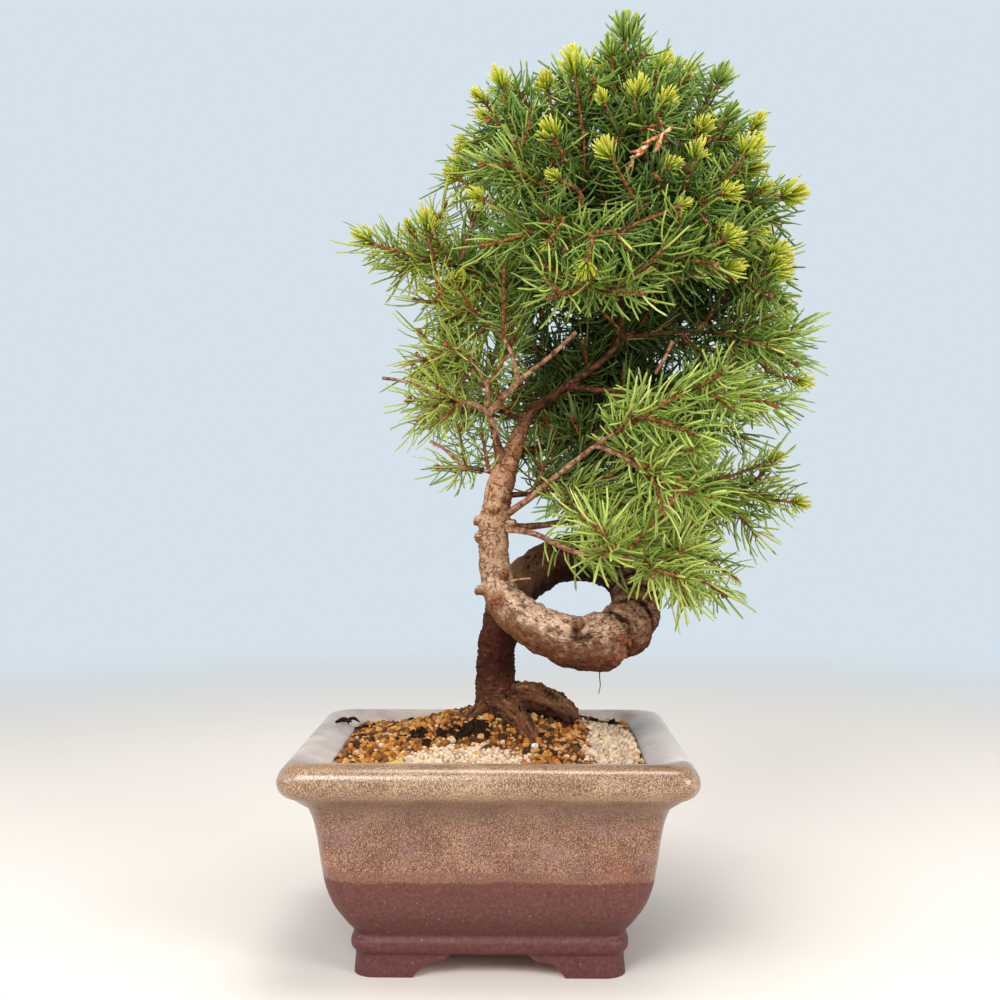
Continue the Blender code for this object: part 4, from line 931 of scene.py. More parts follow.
# The limbs: brown wood of one to five years, knobbly with the pegs that fallen needles leave.  Each tapers
# from the stem that it grew on to the leafy shoots at its end.
Limb = namedtuple("Limb", "name wood tip side_tips")
LEADER = [(6.5, -10.5, 208, 4.8), (12, -7, 221, 4.1), (17, -3, 232, 3.5), (26, 0, 239, 3.0),
          (37, 2, 247, 2.6), (48, 2, 255, 2.3), (57, 0, 266, 2.1), (56, -3, 281, 1.9), (54, -4, 294, 1.8),
          (55, -3, 310, 1.7), (57, -1, 326, 1.6), (59, 0, 344, 1.4), (59, 1, 360, 1.3), (59, 0, 374, 1.2)]
BARE_STUB = [(-1, -17, 231, 1.9), (12, -24, 244, 1.7), (25, -28, 254, 1.5), (36, -30, 264, 1.3)]
LIMBS = [
    Limb("low_right", [(4, -13, 182, 2.6), (24, 4, 183, 2.2), (44, 17, 187, 2.0), (64, 18, 190, 1.8),
                       (82, 8, 194, 1.5), (94, 2, 197, 1.3)],
         (130, -10, 195), [(125, 8, 173), (126, -24, 212), (118, 28, 190)]),
    Limb("low_front", [(5, -17, 182, 2.2), (18, -26, 180, 1.9), (27, -34, 176, 1.7), (38, -41, 172, 1.5),
                       (50, -45, 171, 1.4), (62, -46, 171, 1.2)],
         (105, -30, 151), [(86, -48, 146), (66, -66, 160), (92, -58, 178)]),
    Limb("low_back", [(48, 18, 188, 1.7), (58, 30, 187, 1.5), (68, 38, 185, 1.3)],
         (98, 62, 174), [(104, 42, 166), (68, 70, 186), (88, 60, 198)]),
    Limb("inner_right", [(5, -12, 196, 1.8), (20, -8, 197, 1.5), (31, -4, 199, 1.3)],
         (64, 0, 208), [(56, -28, 194), (46, 20, 206)]),
    Limb("pale_right", [(4, -14, 186, 2.4), (17, -24, 195, 2.0), (25, -33, 202, 1.8), (34, -42, 209, 1.6),
                        (43, -49, 216, 1.4), (51, -53, 221, 1.2)],
         (83, -70, 240), [(58, -74, 234), (92, -62, 218)]),
    Limb("pale_fork", [(43, -49, 216, 1.3), (54, -51, 211, 1.2), (63, -52, 204, 1.2)],
         (96, -62, 192), [(72, -75, 206), (70, -70, 184)]),
    Limb("mid_front", [(33, 1, 244, 2.0), (48, -14, 241, 1.7), (64, -26, 239, 1.5), (78, -33, 240, 1.3)],
         (126, -38, 231), [(100, -56, 248), (104, -60, 226), (116, -16, 246)]),
    Limb("mid_right", [(57, 0, 265, 1.9), (69, -5, 266, 1.6), (84, -8, 267, 1.4), (98, -6, 267, 1.2)],
         (142, 0, 250), [(144, 20, 267), (128, -22, 274), (126, -32, 254)]),
    Limb("mid_back_right", [(8, -10, 213, 2.4), (24, 4, 218, 2.1), (38, 16, 221, 1.8), (54, 26, 225, 1.6),
                            (70, 33, 229, 1.4), (82, 38, 231, 1.2)],
         (122, 46, 236), [(110, 60, 220), (98, 68, 246), (126, 26, 220)]),
    Limb("mid_back", [(24, -1, 237, 2.0), (25, 14, 240, 1.7), (29, 28, 243, 1.5), (34, 38, 245, 1.3)],
         (44, 76, 250), [(18, 66, 240), (68, 66, 234), (40, 62, 222)]),
    Limb("left_limb", [(6, -11, 207, 3.0), (2, -14, 221, 2.4), (-1, -16, 231, 2.0), (-8, -19, 235, 1.6),
                       (-14, -19, 236, 1.3)],
         (-43, -26, 236), [(-41, -8, 222), (-28, -40, 246)]),
    Limb("left_twig", [(6, -13, 204, 1.6), (-4, -10, 207, 1.2)],
         (-32, -4, 209), [(-22, 14, 206)]),
    Limb("left_up", [(-1, -16, 231, 1.7), (-2, -15, 243, 1.5), (-7, -13, 253, 1.2)],
         (-43, -10, 254), [(-38, -16, 270), (-22, -42, 260)]),
    Limb("back_left_low", [(15, -4, 229, 2.0), (6, 10, 233, 1.7), (-2, 22, 237, 1.3)],
         (-30, 40, 242), [(-8, 58, 232), (-36, 18, 230)]),
    Limb("inner_left", [(12, -24, 243, 1.5), (9, -21, 256, 1.4), (3, -18, 266, 1.3), (-5, -15, 272, 1.2)],
         (-41, -4, 284), [(-18, -36, 288), (-30, 14, 270)]),
    Limb("left_lobe", [(54, -4, 287, 1.7), (38, 0, 287, 1.6), (18, 0, 289, 1.5), (-2, -2, 293, 1.4),
                       (-18, -4, 297, 1.2)],
         (-63, -8, 308), [(-38, 10, 319), (-27, -24, 314), (-50, 12, 294)]),
    Limb("front_low", [(56, -3, 277, 1.5), (50, -16, 279, 1.4), (44, -29, 280, 1.2)],
         (40, -73, 284), [(20, -64, 272), (13, -50, 293), (64, -68, 274)]),
    Limb("front_right", [(54, -4, 291, 1.5), (62, -17, 292, 1.4), (70, -29, 293, 1.2)],
         (97, -56, 287), [(78, -62, 311), (106, -34, 304)]),
    Limb("back_left", [(54, -4, 298, 1.6), (38, 8, 297, 1.5), (22, 18, 297, 1.3), (10, 24, 298, 1.2)],
         (-22, 42, 302), [(-4, 60, 288), (12, 54, 314), (-30, 22, 286)]),
    Limb("back_mid", [(56, 0, 268, 1.7), (60, 16, 270, 1.5), (64, 30, 272, 1.3)],
         (72, 78, 276), [(98, 62, 270), (44, 70, 284), (54, 64, 262)]),
    Limb("right_mid", [(56, -3, 283, 1.6), (72, 2, 286, 1.4), (88, 4, 289, 1.3), (98, 3, 291, 1.2)],
         (132, -6, 307), [(130, -20, 291), (134, 20, 292)]),
    Limb("back_right", [(55, -3, 304, 1.5), (70, 12, 305, 1.4), (84, 24, 305, 1.2)],
         (118, 48, 302), [(104, 60, 318), (88, 68, 294), (124, 32, 320)]),
    Limb("right_upper", [(57, -1, 319, 1.5), (74, 2, 321, 1.4), (90, 4, 324, 1.3), (100, 5, 326, 1.2)],
         (136, 5, 331), [(118, -4, 346), (122, 28, 336), (118, -22, 320)]),
    Limb("front_upper", [(56, -2, 313, 1.4), (66, -11, 315, 1.3), (75, -20, 316, 1.2)],
         (96, -38, 322), [(92, -50, 305), (82, -42, 337), (66, -52, 327)]),
    Limb("front_left", [(55, -3, 307, 1.5), (44, -14, 305, 1.4), (32, -24, 304, 1.2)],
         (6, -46, 304), [(17, -50, 318), (30, -58, 291), (-4, -24, 304)]),
    Limb("left_upper", [(57, -1, 325, 1.4), (42, -8, 329, 1.3), (28, -14, 331, 1.2)],
         (-4, -27, 334), [(26, -40, 347), (-20, -2, 340), (4, -26, 350)]),
    Limb("back_upper", [(57, -1, 329, 1.4), (51, 14, 328, 1.3), (45, 26, 329, 1.2)],
         (30, 60, 334), [(62, 62, 342), (8, 44, 342), (48, 56, 318)]),
    Limb("crown_far_left", [(58, 0, 338, 1.3), (44, 2, 344, 1.2), (32, 1, 350, 1.2)],
         (5, -10, 380), [(-4, 12, 373), (12, 26, 358), (-16, 10, 356)]),
    Limb("crown_left", [(59, 1, 351, 1.3), (50, -1, 356, 1.2), (44, -4, 364, 1.2)],
         (37, -8, 391), [(25, 12, 388), (44, -24, 378)]),
    Limb("crown_back", [(59, 1, 357, 1.3), (63, 12, 364, 1.2)],
         (80, 26, 396), [(50, 30, 394), (62, 48, 374), (90, 44, 372)]),
    Limb("crown_right", [(59, 0, 344, 1.3), (74, 2, 348, 1.2), (86, 2, 352, 1.2)],
         (100, 0, 384), [(119, 6, 362), (110, 26, 366), (112, -16, 348)]),
    Limb("crown_front", [(59, 0, 347, 1.3), (60, -11, 348, 1.2)],
         (61, -27, 368), [(78, -16, 368), (47, -46, 338), (74, -46, 348)]),
]
APEX = Limb("apex", [LEADER[-2], LEADER[-1]], (59, 0, 409), [(48, 10, 396), (72, -8, 396)])
LIMB_STEPS = 6
COLLAR = 1.45
SLENDER = 0.64
GOLDEN_TURN = math.radians(137.5)
LEAN_SPREAD = 0.16

# A line that wood or needles grow along: its places, half its thickness in metres, the youth of what grows
# there, with painted light and shade in it for needles, how far the needles lean out from it, and their
# length as a share of the usual one.
Line = namedtuple("Line", "places thickness youth lean reach", defaults=(0.0, 1.0))


def line_mesh(name, lines):
    """Edges along each line of places, and what their vertices carry."""
    mesh = bpy.data.meshes.new(name)
    vertices = np.vstack([line.places for line in lines])
    edges = []
    first = 0
    for line in lines:
        edges += [(first + k, first + k + 1) for k in range(len(line.places) - 1)]
        first += len(line.places)
    mesh.from_pydata(vertices.tolist(), edges, [])
    for field in ("thickness", "youth", "lean", "reach"):
        values = [np.broadcast_to(getattr(line, field), len(line.places)) for line in lines]
        store(mesh, field, np.concatenate(values))
    return mesh


def wood_line(rows, youth, collar=COLLAR):
    """A limb's wood as a line, thickened where it leaves its parent."""
    rows = smooth_line(rows, LIMB_STEPS)
    flare = 1.0 + (collar - 1.0) * np.exp(-np.arange(len(rows)) / 2.0)
    return Line(rows[:, :3] * MM + MIDDLE, rows[:, 3] * MM * flare * SLENDER, youth)


tree, wires = new_tree("wood_round_lines", {"Sides": "Int", "Step": "Float", "Knobbly": "Float",
                                            "Material": "Material"})
curves = wires["Geometry"].node("GeometryNodeMeshToCurve", {}, {0: wires["Geometry"]})
curves = curves.node("GeometryNodeResampleCurve", {"mode": "LENGTH"}, {0: curves, "Length": wires["Step"]})
station = curves.node("GeometryNodeSplineParameter", {}, {}, 1)
curves = keep_value(curves, "station", station, "POINT")
thickness = carried(curves, "thickness")
circle = curves.node("GeometryNodeCurvePrimitiveCircle", {"mode": "RADIUS"},
                     {"Resolution": wires["Sides"], "Radius": 1.0})
wood = curves.node("GeometryNodeCurveToMesh", {},
                   {0: curves, 1: circle, "Scale": thickness, "Fill Caps": True})
position = wood.node("GeometryNodeInputPosition", {}, {})
normal = wood.node("GeometryNodeInputNormal", {}, {})
swell = (position.cloud(420.0, 2.0) - 0.5) * wires["Knobbly"] * thickness
offset = normal.node("ShaderNodeVectorMath", {"operation": "SCALE"}, {0: normal, "Scale": swell})
wood = wood.node("GeometryNodeSetPosition", {}, {0: wood, "Offset": offset})
close_tree(wood, wires["Material"])
wood_tree = tree

tree, wires = new_tree("pieces_round_lines", {"Spacing": "Float", "Smallest": "Float", "Largest": "Float",
                                              "Seed": "Int", "Kinds": "Int", "Shapes": "Collection",
                                              "Material": "Material"})
curves = wires["Geometry"].node("GeometryNodeMeshToCurve", {}, {0: wires["Geometry"]})
curves = curves.node("GeometryNodeResampleCurve", {"mode": "LENGTH"}, {0: curves, "Length": wires["Spacing"]})
points = curves.node("GeometryNodeCurveToPoints", {"mode": "EVALUATED"}, {0: curves})
facing = points.also(3)
index = points.node("GeometryNodeInputIndex", {}, {})
turn = index * GOLDEN_TURN + random_value(points, -0.5, 0.5, 1)
turned = turn.node("FunctionNodeAxisAngleToRotation", {}, {0: (0.0, 0.0, 1.0), 1: turn})
lean = carried(points, "lean") + random_value(points, -LEAN_SPREAD, LEAN_SPREAD, wires["Seed"])
leaned = lean.node("FunctionNodeAxisAngleToRotation", {}, {0: (0.0, 1.0, 0.0), 1: lean})
facing = facing.node("FunctionNodeRotateRotation", {"rotation_space": "LOCAL"}, {0: facing, 1: turned})
facing = facing.node("FunctionNodeRotateRotation", {"rotation_space": "LOCAL"}, {0: facing, 1: leaned})
size = random_value(points, wires["Smallest"], wires["Largest"], wires["Seed"] + 1.0)
size = size * carried(points, "reach")
shapes = points.node("GeometryNodeCollectionInfo", {}, {0: wires["Shapes"], 1: True, 2: True})
pick = random_value(points, 0.0, wires["Kinds"], wires["Seed"] + 2.0)
set_round = points.node("GeometryNodeInstanceOnPoints", {},
                        {0: points, 2: shapes, 3: True, 4: pick, 5: facing, 6: size})
set_round = keep_value(set_round, "tone", random_value(set_round, 0.0, 1.0, 21), "INSTANCE")
close_tree(set_round, wires["Material"])
round_tree = tree

limb_bark, place, shader = finish("limb_bark", roughness=0.8, specular_ior_level=0.2)
youth = attribute(place, "youth")
limb_grain = place.cloud(480.0, 3.0, 0.65)
old_tone = limb_grain.ramp((0.34, paint(74, 45, 32)), (0.50, paint(135, 94, 68)),
                           (0.66, paint(178, 139, 110)))
dark_tone = limb_grain.ramp((0.34, paint(38, 22, 14)), (0.52, paint(79, 47, 29)),
                            (0.70, paint(124, 81, 52)))
rust_tone = limb_grain.ramp((0.34, paint(84, 45, 26)), (0.52, paint(142, 86, 50)),
                            (0.70, paint(188, 134, 90)))
limb_tone = youth.rise(0.15, 0.45).blend(old_tone, dark_tone)
limb_tone = youth.rise(0.55, 0.85).blend(limb_tone, rust_tone)
plug(limb_tone, shader["Base Color"])
plug(bump(limb_grain, 0.4 * MM), shader["Normal"])

PALE = 0.0
DARK = 0.5
PALE_LIMBS = ("low_right", "low_front", "pale_right", "pale_fork", "left_limb", "left_up", "left_twig",
              "inner_left")
HANGING_ROOT = [(46, -30, 126, 0.45), (45.6, -30.5, 121, 0.35), (45.9, -30.6, 117, 0.3),
                (45.2, -30.8, 113.5, 0.25)]
BROKEN_TWIG = [(5, -25, 158, 0.9), (10, -29, 160.5, 0.8), (17, -31, 161.5, 0.6)]
wood_lines = [wood_line(LEADER, DARK, 1.1), wood_line(BARE_STUB, PALE), wood_line(HANGING_ROOT, DARK, 1.0),
              wood_line(BROKEN_TWIG, PALE, 1.0)]
for limb in LIMBS:
    wood_lines.append(wood_line(limb.wood, PALE if limb.name in PALE_LIMBS else DARK))
limbs = grow("limbs", line_mesh("limb_lines", wood_lines), wood_tree,
             {"Sides": 9, "Step": 1.3 * MM, "Knobbly": 0.45, "Material": limb_bark})
limbs.data.shade_smooth()
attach(limbs, "root")

# The leafy shoots: each ends a limb's wood or leaves another shoot at about fifty degrees.  The wood is a
# rust-brown twig, and its needles stand all round it on small brown pegs, closing to a brush at its tip.
TWIG_RADII = (1.15 * MM, 0.84 * MM)
SHOOT_ANGLE = math.radians(50.0)
TIP_MARGIN = 9.5 * MM
NEEDLE_GLOW = 0.34
NEEDLE_BENDS = (0.20, 0.32, 0.44, 0.56, 0.08)
STRAIGHT_RINGS = [(0.0, 0.65), (0.48, 1.0), (0.90, 0.90)]
CURVED_RINGS = [(0.0, 0.65), (0.35, 1.0), (0.66, 1.0), (0.93, 0.85)]
LEANS = (math.radians(88.0), math.radians(54.0))
YOUNG_LEANS = (math.radians(90.0), math.radians(80.0))
CAMERA_OFFSET = (12.1, -550.8, 194.0)
VIEW_MIDDLE = (3.7, 194.0)
PHOTO_MIDDLE = 500.0
PIXEL = 0.4408

# Hollows in the front of the crown, from one corner to the other, where only the chief shoots stand.
OPEN_WINDOWS = [((-15.0, -90.0, 196.0), (66.0, -16.0, 278.0)), ((40.0, -90.0, 240.0), (106.0, -8.0, 286.0)),
                ((24.0, -90.0, 306.0), (58.0, -20.0, 334.0)), ((54.0, -90.0, 336.0), (82.0, -30.0, 360.0)),
                ((18.0, -90.0, 304.0), (50.0, 0.0, 331.0))]

# How far apart tips stand inside the crown and at its surface, and where its needles darken as painted shade,
# lighten low down as painted light, lighten on the left, and turn young.
EXTRA_GAPS = (12.5 * MM, 7.8 * MM)
LOW_CROWN = 262.0
LOW_FADE = 0.06
INNER_SHADE = 1.5
BACK_SHADE = 0.9
LEFT_LIGHTER = 0.32
YOUNG_FROM = (-0.01, 0.28)
YOUNG_SHARE = 0.30
JUST_BEHIND = 6.0

# Room for the needles, and for the tips of the shoots, inside the size of the whole object.
BOX_LOW = np.array(cad_box[0]) + np.array([3.0, 2.0, 0.0]) * MM
BOX_HIGH = np.array(cad_box[1]) - np.array([3.0, 2.0, 2.0]) * MM
TIP_LOW = np.array(cad_box[0]) + np.array([12.0, 16.0, 0.0]) * MM
TIP_HIGH = np.array(cad_box[1]) - np.array([13.5, 15.0, 3.0]) * MM

# Each round of smaller shoots: how far apart they leave, and how long they are.
GROWTH = [(7.0 * MM, 26.0 * MM), (7.5 * MM, 20.0 * MM), (8.0 * MM, 15.0 * MM)]

# The crown: an oval for its depth, and its outline as seen from the front.
CROWN_MIDDLE = np.array([50.0, 0.0, 285.0])
CROWN_REACH = np.array([98.0, 78.0, 125.0])
CROWN = [(59, 409), (70, 395), (87, 388), (103, 385), (118, 359), (134, 333), (134, 304), (134, 286),
         (143, 262), (141, 242), (136, 229), (131, 212), (139, 194), (131, 178), (123, 171), (110, 154),
         (109, 145), (92, 140), (74, 150), (65, 154), (48, 161), (35, 167), (30, 185), (13, 194), (4, 204),
         (-10, 203), (-27, 207), (-40, 220), (-42, 236), (-37, 251), (-40, 262), (-36, 269), (-40, 286),
         (-49, 295), (-62, 304), (-64, 309), (-53, 320), (-41, 325), (-32, 326), (-23, 333), (-20, 344),
         (-5, 355), (-7, 370), (4, 380), (21, 387), (35, 395), (48, 399)]

# Shoots that are plain to see from the front: root and tip on the plane through the middle of the pot, how
# far in front of that plane the tip is, and the size of the young brush at its end, 0 for none.
Seen = namedtuple("Seen", "root tip front brush")
SEEN_SHOOTS = [Seen(*row) for row in (
    ((56, 375), (59, 395), 0, 1.4), ((55, 372), (53, 388), 6, 1.0), ((41, 350), (37, 380), 14, 1.35),
    ((27, 364), (25, 374), 8, 0.9), ((13, 353), (5, 375), 8, 1.0), ((3, 362), (-3, 369), 8, 0.8),
    ((9, 357), (-1, 362), 14, 0.7), ((32, 344), (28, 353), 34, 1.0), ((65, 325), (53, 344), 44, 1.0),
    ((40, 327), (30, 335), 46, 0.6), ((21, 333), (6, 344), 30, 0.0), ((21, 312), (-3, 326), 34, 0.8),
    ((-5, 330), (-15, 336), 10, 0.7), ((62, 356), (64, 370), 18, 1.05), ((54, 359), (50, 368), 26, 0.7),
    ((68, 356), (75, 367), 24, 0.9), ((86, 350), (91, 355), 26, 0.9), ((83, 327), (89, 343), 36, 0.95),
    ((69, 335), (77, 340), 42, 0.65), ((92, 363), (99, 376), 6, 1.1), ((94, 350), (102, 360), 12, 0.9),
    ((107, 346), (114, 356), 4, 0.9), ((98, 330), (111, 345), 20, 1.15), ((100, 336), (112, 339), 12, 0.9),
    ((94, 325), (101, 328), 38, 0.95), ((113, 322), (127, 327), 6, 1.2), ((110, 326), (118, 330), 14, 0.6),
    ((57, 311), (82, 323), 52, 0.5), ((93, 312), (99, 313), 40, 0.75), ((68, 295), (102, 308), 46, 0.9),
    ((108, 298), (121, 301), 14, 1.15), ((106, 290), (121, 294), 16, 1.2), ((75, 291), (102, 295), 44, 0.9),
    ((52, 312), (60, 305), 62, 0.0), ((44, 310), (42, 299), 62, 0.8), ((32, 318), (25, 308), 52, 0.4),
    ((-38, 300), (-53, 308), 6, 0.95), ((-25, 295), (-28, 312), 14, 1.0), ((-30, 302), (-35, 312), 4, 0.6),
    ((-24, 284), (-17, 291), 20, 0.6), ((-14, 298), (-7, 321), -6, 0.0), ((110, 261), (135, 268), 8, 0.0),
    ((121, 251), (133, 247), 12, 0.8), ((107, 246), (128, 236), 18, 0.0), ((92, 199), (122, 211), 14, 0.7),
    ((118, 195), (132, 193), 8, 0.75), ((77, 213), (88, 216), 56, 1.15), ((92, 235), (103, 238), 38, 0.5),
    ((80, 176), (71, 164), 46, 0.5), ((64, 236), (70, 229), 50, 0.0), ((60, 216), (56, 226), 44, 0.0),
    ((92, 172), (106, 160), 20, 0.3), ((-36, 248), (-24, 251), 10, 0.0))]
SEEN_WOOD = [Seen((12, 221), (37, 247), 6, 0), Seen((37, 247), (57, 264), 3, 0),
             Seen((57, 264), (100, 268), 8, 0), Seen((57, 264), (54, 292), 6, 0),
             Seen((4, 258), (-12, 276), 18, 0)]

# Dry twigs without needles: their marks on the photograph, in its pixels, and how far in front they stand.
DRY_TWIGS = [([(382, 378), (398, 380), (418, 386), (440, 401)], 14),
             ([(416, 352), (424, 362), (432, 372)], 10),
             ([(430, 441), (446, 450), (462, 466)], 16),
             ([(460, 262), (468, 238), (476, 212)], 4),
             ([(672, 341), (666, 356), (655, 374)], 44)]

# Parts of the crown, as seen from the front, where shoots stand closer or wider than elsewhere: its edges,
# how far behind the middle plane it starts and ends, the gap, and whether a wider one may stay.
Part = namedtuple("Part", "left right bottom top start end gap widens")
ANY = math.inf
PARTS = [Part(5.0, 80.0, 225.0, 300.0, 0.0, ANY, 8.0, False),
         Part(85.0, ANY, -ANY, LOW_CROWN, -ANY, ANY, 11.0, True),
         Part(-ANY, 0.0, -ANY, LOW_CROWN, -ANY, ANY, 11.0, True),
         Part(62.0, ANY, -ANY, 250.0, -ANY, 0.0, 13.0, True),
         Part(-ANY, 2.0, 230.0, 330.0, -ANY, ANY, 13.0, True),
         Part(96.0, ANY, -ANY, 240.0, -ANY, ANY, 17.0, False),
         Part(-ANY, -6.0, -ANY, 226.0, -ANY, ANY, 17.0, False),
         Part(-34.0, 12.0, 226.0, 284.0, -6.0, ANY, 8.0, False)]
shoot_draw = random.Random(12)
Shoot = namedtuple("Shoot", "places group level brush")


def bend(root, heading, tip, pull, steps=6):
    """Places on a path that leaves its root along a heading and bends round to a tip."""
    control = root + heading * np.linalg.norm(tip - root) * pull
    shares = np.linspace(0.0, 1.0, steps + 1)[:, None]
    return (root * (1.0 - shares) + control * shares) * (1.0 - shares) + (
        control * (1.0 - shares) + tip * shares) * shares


def unit(vector):
    """The vector at length one."""
    return vector / np.linalg.norm(vector)


def leaving(places, tip):
    """The place on a path, and its direction there, from which a shoot to tip leaves at the usual angle."""
    best = None
    for a, b in zip(places, places[1:]):
        for share in (0.0, 0.25, 0.5, 0.75):
            root = a + (b - a) * share
            angle = math.acos(np.clip(unit(tip - root).dot(unit(b - a)), -1.0, 1.0))
            if best is None or abs(angle - SHOOT_ANGLE) < best[0]:
                best = (abs(angle - SHOOT_ANGLE), root, unit(b - a))
    return best[1], best[2]


def side_shoot(places, tip):
    """A shoot from a path to a tip, bowed a little away from straight."""
    root, heading = leaving(places, tip)
    return bend(root, unit(unit(tip - root) + heading * 0.35), tip, 0.4)


def seen_from_front(place):
    """Where a place is seen on the plane through the middle of the pot."""
    spot = (place - MIDDLE) / MM
    scale = -CAMERA_OFFSET[1] / (spot[1] - CAMERA_OFFSET[1])
    return np.array([CAMERA_OFFSET[0] + (spot[0] - CAMERA_OFFSET[0]) * scale,
                     CAMERA_OFFSET[2] + (spot[2] - CAMERA_OFFSET[2]) * scale])



def place_seen_at(x, z, front):
    """The place in front of the middle plane that is seen at a place on it."""
    scale = (-front - CAMERA_OFFSET[1]) / -CAMERA_OFFSET[1]
    return np.array([CAMERA_OFFSET[0] + (x - CAMERA_OFFSET[0]) * scale, -front,
                     CAMERA_OFFSET[2] + (z - CAMERA_OFFSET[2]) * scale]) * MM + MIDDLE


def photo_place(across, down, front):
    """The place in front of the middle plane for one measured on the photograph, in its pixels."""
    return place_seen_at(VIEW_MIDDLE[0] + (across - PHOTO_MIDDLE) * PIXEL,
                         VIEW_MIDDLE[1] + (PHOTO_MIDDLE - down) * PIXEL, front)


def in_crown(x, z):
    """Whether a place on that plane is inside the crown's outline."""
    inside = False
    for (x0, z0), (x1, z1) in zip(CROWN, CROWN[1:] + CROWN[:1]):
        if (z0 > z) != (z1 > z) and x < x0 + (z - z0) * (x1 - x0) / (z1 - z0):
            inside = not inside
    return inside


def hides_seen_shoot(place):
    """Whether a shoot's tip here would stand before one of the shoots that are plain to see."""
    at = seen_from_front(place)
    front = (MIDDLE[1] - place[1]) / MM
    for rows, overshoot, clearance in ((SEEN_SHOOTS, 1.3, 7.0), (SEEN_WOOD, 1.0, 13.0)):
        for seen in rows:
            root, run = np.array(seen.root, float), np.subtract(seen.tip, seen.root).astype(float)
            share = np.clip((at - root).dot(run) / run.dot(run), 0.0, overshoot)
            if front > seen.front - JUST_BEHIND and np.linalg.norm(at - root - run * share) < clearance:
                return True
    return False


def is_open(place):
    """Whether a shoot of the rule's own may end here: in the crown, and not before its dark hollows."""
    if (place < BOX_LOW).any() or (place > BOX_HIGH).any() or not in_crown(*seen_from_front(place)):
        return False
    spot = (place - MIDDLE) / MM
    return not any(((spot > low) & (spot < high)).all() for low, high in OPEN_WINDOWS)


def outwardness(place):
    """How far out in the crown a place is: 0 in its middle, 1 at its surface."""
    return np.linalg.norm(((place - MIDDLE) / MM - CROWN_MIDDLE) / CROWN_REACH)


def room_wanted(tip):
    """How far a shoot's tip keeps from the others: less at the crown's surface, and as its parts say."""
    seen_x, seen_z = seen_from_front(tip)
    gap = EXTRA_GAPS[0] + (EXTRA_GAPS[1] - EXTRA_GAPS[0]) * min(outwardness(tip) / 0.85, 1.0) ** 2
    behind = (tip[1] - MIDDLE[1]) / MM
    for part in PARTS:
        if (part.left < seen_x < part.right and part.bottom < seen_z < part.top
                and part.start < behind < part.end):
            gap = max(gap, part.gap * MM) if part.widens else part.gap * MM
    return gap


def extra_shoots(places, group, level, spacing, length, taken):
    """Shoots of the rule's own along a path, turning round it, where there is room for their tips."""
    total = np.linalg.norm(np.diff(places, axis=0), axis=1).sum()
    count = int(total / spacing)
    made = []
    turn = shoot_draw.uniform(0.0, math.tau)
    for k in range(count):
        turn += GOLDEN_TURN
        share = (k + 0.6) / count
        at = share * (len(places) - 1)
        index = min(int(at), len(places) - 2)
        root = places[index] + (places[index + 1] - places[index]) * (at - index)
        heading = unit(places[index + 1] - places[index])
        side = unit(np.cross(heading, (0.31, 0.52, 0.79)))
        outward = side * math.cos(turn) + np.cross(heading, side) * math.sin(turn)
        angle = SHOOT_ANGLE + shoot_draw.uniform(-0.15, 0.15)
        way = heading * math.cos(angle) + outward * math.sin(angle)
        size = length * (1.15 - 0.5 * share) * shoot_draw.uniform(0.85, 1.15)
        tip = np.clip(root + way * size + np.array([0.0, 0.0, 0.10 * size]), TIP_LOW, TIP_HIGH)
        near = min((np.linalg.norm(tip - other) for other in taken), default=1.0)
        if near > room_wanted(tip) and is_open(tip + way * TIP_MARGIN) and not hides_seen_shoot(tip):
            taken.append(tip)
            young = tip[1] > YOUNG_FROM[0] and tip[2] > YOUNG_FROM[1] and shoot_draw.random() < YOUNG_SHARE
            made.append(Shoot(bend(root, way, tip, 0.5), group, level, shoot_draw.uniform(0.7, 1.2) * young))
    return made


def wood_places(rows):
    """Places along a limb's wood or the leader, in metres."""
    return smooth_line(rows, LIMB_STEPS)[:, :3] * MM + MIDDLE


# Each piece of foliage: the limbs whose shoots it takes in, how far apart its needles stand along a twig and
# how long they are, in millimetres, and their thickness and curl for their length.
Foliage = namedtuple("Foliage", "limbs spacing length slimness curl")
FOLIAGE = {
    "foliage_top": Foliage(
        ("apex", "crown_far_left", "crown_left", "crown_back", "crown_right", "crown_front"),
        0.70, 12.0, 0.084, 1.0),
    "foliage_upper_right": Foliage(
        ("right_upper", "front_upper", "right_mid", "front_right", "back_right"), 0.70, 12.5, 0.078, 1.0),
    "foliage_upper_left": Foliage(
        ("left_lobe", "left_upper", "front_left", "front_low", "back_left", "back_upper"),
        0.84, 13.0, 0.068, 1.3),
    "foliage_middle": Foliage(
        ("mid_front", "mid_right", "mid_back_right", "mid_back", "back_mid"), 0.68, 13.0, 0.074, 1.35),
    "foliage_lower_left": Foliage(
        ("left_limb", "left_twig", "left_up", "back_left_low", "inner_left"), 0.90, 12.0, 0.064, 1.3),
    "foliage_lower_right": Foliage(
        ("low_right", "low_front", "low_back", "inner_right", "pale_right", "pale_fork"),
        0.70, 12.8, 0.078, 1.45),
}
group_names = {limb: group for group, foliage in FOLIAGE.items() for limb in foliage.limbs}
shoots = []
taken_tips = []
for limb in [APEX] + LIMBS:
    group = group_names[limb.name]
    wood = wood_places(limb.wood)
    tip = np.array(limb.tip) * MM + MIDDLE
    heading = unit(wood[-1] - wood[-2])
    main_tip = np.clip(tip - unit(tip - wood[-1]) * TIP_MARGIN, TIP_LOW, TIP_HIGH)
    main = bend(wood[-1] - heading * MM, heading, main_tip, 0.35, 10)
    shoots.append(Shoot(main, group, 0, 0.0))
    taken_tips.append(main_tip)
    for side_tip in limb.side_tips:
        far = np.array(side_tip) * MM + MIDDLE
        side_end = np.clip(far - unit(far - wood[-1]) * TIP_MARGIN, TIP_LOW, TIP_HIGH)
        shoots.append(Shoot(side_shoot(main, side_end), group, 1, 0.0))
        taken_tips.append(side_end)
